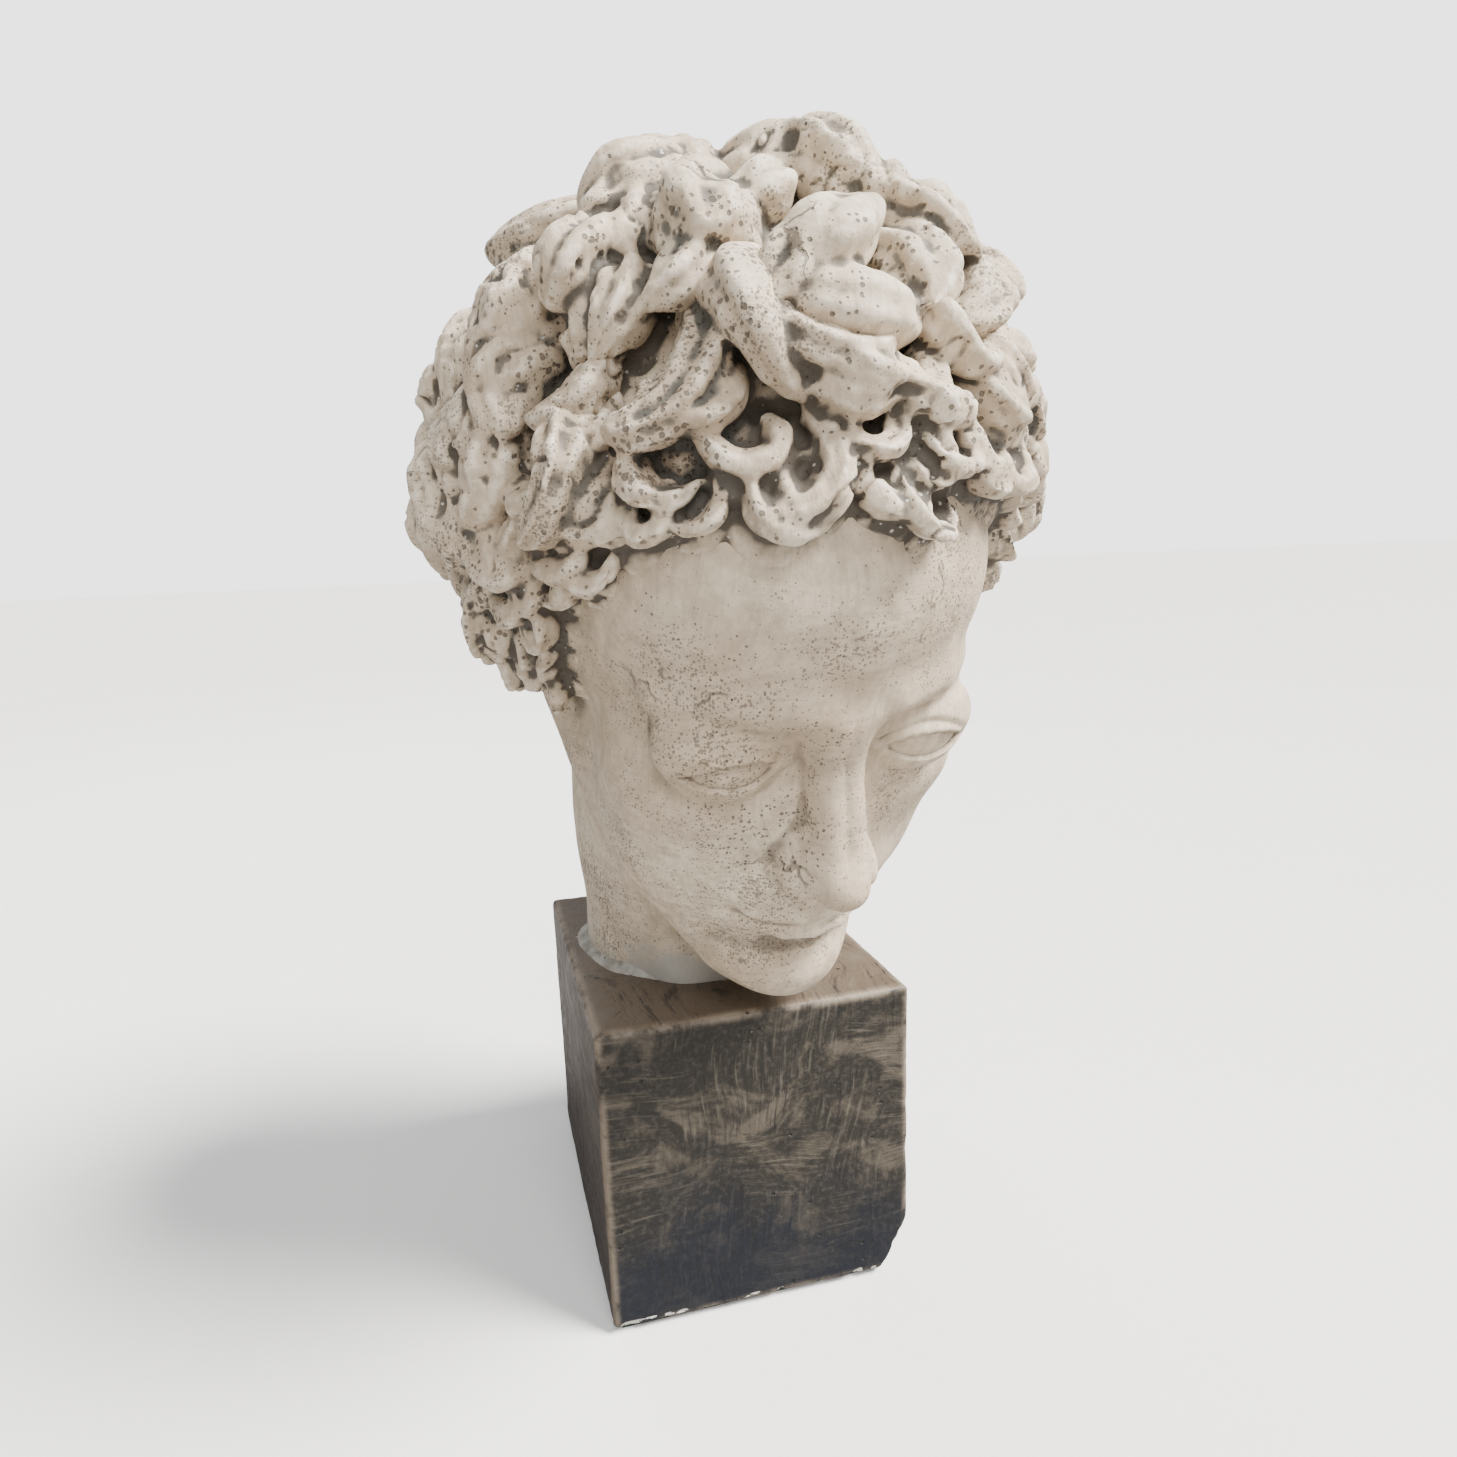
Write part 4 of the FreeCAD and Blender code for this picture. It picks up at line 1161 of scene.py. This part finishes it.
def block_paint(specks, drag, cracks):
    """Black-brown paint brushed over plaster: blue-black low down, browner on the top, rubbed
    back to taupe in patches and along the edges, and chipped to white plaster."""
    finish, b, shader, place = new_finish("dark_block_paint")
    parts = b.node("ShaderNodeSeparateXYZ", {0: place}).outputs
    up = b.sum("ADD", parts["Z"], b.ease(b.noise(place, 13.0, 5.0, 0.65), 0.25, 0.75, -0.026, 0.026))
    colour = b.blend(b.ease(up, 0.022, 0.072), BLUE_BLACK, BROWN_BLACK)
    flat = b.node("ShaderNodeNewGeometry").outputs["True Normal"]
    facing = b.node("ShaderNodeSeparateXYZ", {0: flat}).outputs
    top = b.ease(facing["Z"], 0.6, 0.95)
    # Painted light: the faces that point to -X, turned from the key, tinted russet by which way they face.
    left = b.ease(facing["X"], -0.6, -0.95)
    colour = b.tinted(colour, RUSSET, left, 0.8)
    colour = b.tinted(colour, TOP_BROWN, top, 0.9)
    patches = b.ease(b.noise(b.stretched(place, (1.0, 1.0, 1.35)), 34.0, 7.0, 0.66, 1.1), 0.47, 0.66)
    height_share = b.ease(up, 0.020, 0.085, 0.12, 1.0)
    colour = b.tinted(colour, TAUPE, patches, b.sum("MULTIPLY", height_share, 0.72))
    streaks = b.placed(drag, {"Vector": place})["Streaks"]
    rubbed = b.sum("MULTIPLY", b.ease(streaks, 0.52, 0.70, 0.0, 0.34), height_share)
    colour = b.blend(rubbed, colour, RUBBED_TAUPE)
    colour = b.blend(b.ease(streaks, 0.47, 0.34, 0.0, 0.75), colour, BRUSHED_BLACK)
    fine = b.noise(place, 420.0, 5.0, 0.7)
    grained = b.sum("MULTIPLY", b.ease(fine, 0.46, 0.70, 0.0, 0.24), b.ease(up, 0.012, 0.075, 0.25, 1.0))
    colour = b.blend(grained, colour, GRAINED_TAUPE)
    edge = b.sum("MULTIPLY", b.attribute("edge"), b.ease(b.noise(place, 60.0, 5.0, 0.65), 0.36, 0.58))
    colour = b.tinted(colour, EDGE_TAN, edge, 0.72)
    dots = b.spots(specks, place, 250.0, 0.42, 26.0)
    colour = b.tinted(colour, PIT_BLACK, dots, 0.85)
    lines = b.placed(cracks, {"Vector": place, "Scale": 13.0})["Lines"]
    colour = b.tinted(colour, CRACK_BLACK, lines, 0.8)
    bare = b.sum("ADD", b.attribute("bare"), b.ease(b.noise(place, 330.0, 4.0), 0.3, 0.7, -0.3, 0.3))
    bare = b.ease(bare, 0.30, 0.55)
    colour = b.blend(bare, colour, CHIPPED_WHITE)
    dust = b.spots(specks, place, 330.0, 0.10, 40.0)
    colour = b.tinted(colour, GREY_DUST, dust, 0.6)
    rough = b.ease(streaks, 0.35, 0.65, 0.40, 0.62)
    rough = b.sum("ADD", rough, b.sum("MULTIPLY", bare, 0.3), clamp=True)
    height = b.sum("ADD", b.sum("MULTIPLY", streaks, 0.75), b.sum("MULTIPLY", fine, 0.35))
    height = b.sum("SUBTRACT", height, b.sum("MULTIPLY", dots, 0.9))
    finish_with(b, shader, colour, rough, height, 0.0007)
    shader.inputs["Specular IOR Level"].default_value = 0.32
    shader.inputs["Coat Weight"].default_value = 0.04
    shader.inputs["Coat Roughness"].default_value = 0.38
    return finish


def fresh_plaster(name, wash_and_shade_group, specks):
    """Bare plaster, bluish white, with grey dirt in patches and pin holes."""
    finish, b, shader, place = new_finish(name)
    tone = b.ease(b.noise(place, 70.0, 5.0, 0.62), 0.3, 0.7)
    colour = b.blend(tone, GREY_PLASTER, PALE_PLASTER)
    dirt = b.ease(b.noise(place, 120.0, 5.0, 0.7, 0.5), 0.40, 0.66)
    colour = b.placed(wash_and_shade_group, {"Vector": place, "Hollow": dirt, "Strength": 0.75, "Most": 0.6,
                             "Colour": colour, "Wash_and_shade_colour": WORKSHOP_DIRT})["Colour"]
    dots = b.spots(specks, place, 480.0, 0.5, 40.0)
    colour = b.tinted(colour, PIN_HOLE, dots, 0.7)
    rough = b.ease(tone, 0.0, 1.0, 0.75, 0.9)
    height = b.sum("SUBTRACT", b.noise(place, 300.0, 6.0, 0.7), b.sum("MULTIPLY", dots, 0.5))
    finish_with(b, shader, colour, rough, height, 0.0008)
    return finish


def zinc_steel(specks, drag):
    """Zinc plate gone dull, with bright drag marks and brown rust spots."""
    finish, b, shader, place = new_finish("dull_zinc_steel")
    streaks = b.placed(drag, {"Vector": place})["Streaks"]
    colour = b.blend(b.ease(streaks, 0.4, 0.6), DULL_ZINC, BRIGHT_ZINC)
    rust = b.spots(specks, place, 300.0, 0.55, 70.0)
    colour = b.tinted(colour, RUST, rust, 0.8)
    rough = b.ease(streaks, 0.35, 0.65, 0.30, 0.52)
    finish_with(b, shader, colour, rough, b.sum("SUBTRACT", streaks, rust), 0.0002)
    bare = b.ease(rust, 0.0, 1.0, 0.95, 0.1)
    b.tree.links.new(bare, shader.inputs["Metallic"])
    return finish


def green_felt(specks):
    """Pressed felt: short crossing fibres, flattened patches and lint."""
    finish, b, shader, place = new_finish("pressed_felt")
    one = b.noise(b.stretched(place, (900.0, 260.0, 260.0), (0.0, 0.0, 0.6)), 1.0, 4.0, 0.7)
    two = b.noise(b.stretched(place, (240.0, 980.0, 240.0), (0.0, 0.0, 0.3)), 1.0, 4.0, 0.7)
    fibre = b.sum("MAXIMUM", one, two)
    colour = b.blend(b.ease(fibre, 0.45, 0.72), DEEP_GREEN, FELT_GREEN)
    worn = b.ease(b.noise(place, 26.0, 4.0), 0.48, 0.68, 0.0, 0.5)
    colour = b.blend(worn, colour, WORN_GREEN)
    lint = b.spots(specks, place, 380.0, 0.25, 30.0)
    colour = b.blend(lint, colour, LINT)
    finish_with(b, shader, colour, b.ease(fibre, 0.3, 0.7, 0.86, 0.97), fibre, 0.0006)
    shader.inputs["Sheen Weight"].default_value = 0.25
    shader.inputs["Sheen Roughness"].default_value = 0.5
    return finish


def pale_floor():
    """The studio's pale floor, with a trace of unevenness. It throws little light back up."""
    finish, b, shader, place = new_finish("pale_paper")
    colour = b.blend(b.noise(place, 3.0, 3.0), PAPER_SHADE, PAPER)
    seen = b.node("ShaderNodeLightPath").outputs["Is Camera Ray"]
    colour = b.blend(seen, PAPER_BOUNCE, colour)
    finish_with(b, shader, colour, b.ease(b.noise(place, 9.0, 2.0), 0.2, 0.8, 0.85, 0.95),
                b.noise(place, 600.0, 3.0), 0.0001)
    return finish


# ---------------------------------------------------------------- camera, lights and floor

# The camera's lens in millimetres, its shift, its place in millimetres, the azimuth and elevation
# that it looks from, and how far it is rolled.
LENS = 22.76
LENS_SHIFT = (0.0254, 0.0140)
CAMERA_AT = (-100.8, -397.0, 303.9)
CAMERA_FROM = (-13.80, 11.24)
CAMERA_ROLL = -2.47

# Azimuth and elevation of each light, then strengths: the key as a sun, the fills in watts, and
# the sky as a light and as the camera sees it.
KEY_FROM, FRONT_FILL_FROM, BACK_FILL_FROM = (60, 50), (-6, 34), (200, 45)
KEY_STRENGTH, FRONT_FILL_WATTS, BACK_FILL_WATTS = 12.5, 24.0, 14.0
KEY_ANGLE = 24
SKY_AS_LIGHT, SKY_AS_SEEN = 0.36, 3.0
FILL_DISTANCE = 1.8
BUST_MIDDLE = (0.0, -0.03, 0.24)

FLOOR_RINGS = 41
FLOOR_TURNS = 96


def direction(azimuth, elevation):
    """The direction from the bust towards a viewer at that azimuth and elevation."""
    a, e = math.radians(azimuth), math.radians(elevation)
    return Vector((math.sin(a) * math.cos(e), -math.cos(a) * math.cos(e), math.sin(e)))


def looking_from(azimuth, elevation):
    """The turn of a camera or lamp that looks at the bust from there."""
    return direction(azimuth, elevation).to_track_quat("Z", "Y").to_matrix().to_4x4()


def place_camera():
    """A short lens close to the head, a little above it and to its right."""
    lens = bpy.data.cameras.new("camera")
    lens.sensor_width = 36.0
    lens.lens = LENS
    lens.shift_x, lens.shift_y = LENS_SHIFT
    lens.clip_start = 0.02
    camera = placed_object("camera", lens)
    turned = looking_from(*CAMERA_FROM) @ Matrix.Rotation(math.radians(CAMERA_ROLL), 4, "Z")
    turned.translation = Vector(CAMERA_AT) * MM
    camera.matrix_world = turned
    bpy.context.scene.camera = camera


def softbox(name, come_from, size, watts, colour):
    """A square area lamp that faces the middle of the bust."""
    lamp = bpy.data.lights.new(name, "AREA")
    lamp.size, lamp.energy, lamp.color = size, watts, colour
    thing = placed_object(name, lamp)
    thing.matrix_world = looking_from(*come_from)
    thing.matrix_world.translation = Vector(BUST_MIDDLE) + direction(*come_from) * FILL_DISTANCE


def light_studio():
    """A soft key from the bust's left and above, a weak fill from the front and one from behind,
    and a pale sky that is brighter to look at than it is as a light."""
    key = bpy.data.lights.new("key", "SUN")
    key.energy, key.angle, key.color = KEY_STRENGTH, math.radians(KEY_ANGLE), (1.0, 0.965, 0.92)
    placed_object("key", key).matrix_world = looking_from(*KEY_FROM)
    softbox("front_fill", FRONT_FILL_FROM, 1.0, FRONT_FILL_WATTS, (1.0, 0.98, 0.95))
    softbox("back_fill", BACK_FILL_FROM, 1.2, BACK_FILL_WATTS, (0.95, 0.98, 1.0))
    world = bpy.data.worlds.new("pale_sky")
    world.use_nodes = True
    bench = Bench(world.node_tree)
    seen = bench.node("ShaderNodeLightPath").outputs["Is Camera Ray"]
    sky = world.node_tree.nodes["Background"]
    sky.inputs["Color"].default_value = (1.0, 1.0, 1.0, 1.0)
    world.node_tree.links.new(bench.ease(seen, 0.0, 1.0, SKY_AS_LIGHT, SKY_AS_SEEN), sky.inputs["Strength"])
    bpy.context.scene.world = world


def lay_floor():
    """A wide disc under the felt, as rings of a polar grid."""
    radius = np.concatenate([[0.02], np.geomspace(0.1, 60.0, FLOOR_RINGS - 1)])[:, None] / MM
    turn = np.linspace(0, 2 * np.pi, FLOOR_TURNS, endpoint=False)[None, :]
    x, y = radius * np.cos(turn), radius * np.sin(turn)
    points = np.stack([x, y, np.full_like(x, CAD_BOX[0][2] / MM)], -1).reshape(-1, 3)
    middle = np.array([[0.0, 0.0, CAD_BOX[0][2] / MM]])
    ring = np.arange(FLOOR_TURNS)
    fan = np.stack([np.full(FLOOR_TURNS, len(points)), ring, (ring + 1) % FLOOR_TURNS], 1)
    faces = [grid_faces(FLOOR_RINGS, FLOOR_TURNS)[:, ::-1], fan]
    return make_mesh("studio_floor", np.concatenate([points, middle]), faces)


# ---------------------------------------------------------------- putting it together

def dress(piece, finish, slot, *nodes):
    """Gives a new piece its finish and its body, and hides the CAD nodes it stands for. The slot is not
    used.
    """
    piece.data.materials.clear()
    piece.data.materials.append(finish)
    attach(piece, "root")
    if nodes:
        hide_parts(*nodes)


def refinish(node, finish):
    """Gives a CAD node that stays in view a better material."""
    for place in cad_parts[node].material_slots:
        place.material = finish


def main():
    """Builds every piece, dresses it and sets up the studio."""
    wash_and_shade_group, specks, drag, cracks = dark_wash_and_painted_shade(), pin_specks(), brush_drag(), fine_cracks()
    head = build_head()
    write_attribute(head.data, "hollow", hollowness(head.data, 12))
    dress(head, toned_plaster("toned_plaster_face", wash_and_shade_group, specks, drag, cracks, False),
          "patinated_plaster", "head_cast")
    curls = toned_plaster("toned_plaster_curls", wash_and_shade_group, specks, drag, cracks, True)
    for piece in build_hair():
        dress(piece, curls, "patinated_plaster", "head_cast")
    dress(build_block(), block_paint(specks, drag, cracks), "block_patina", "plinth_block")
    plaster = fresh_plaster("fresh_plaster", wash_and_shade_group, specks)
    dress(build_bedding(), plaster, "raw_plaster", "bedding_fillet")
    refinish("neck_plug", plaster)
    steel = zinc_steel(specks, drag)
    for node in ("armature_rod", "upper_washer", "upper_nut", "lower_washer", "lower_nut"):
        refinish(node, steel)
    refinish("base_felt", green_felt(specks))
    floor = lay_floor()
    floor.data.materials.append(pale_floor())
    place_camera()
    light_studio()


main()
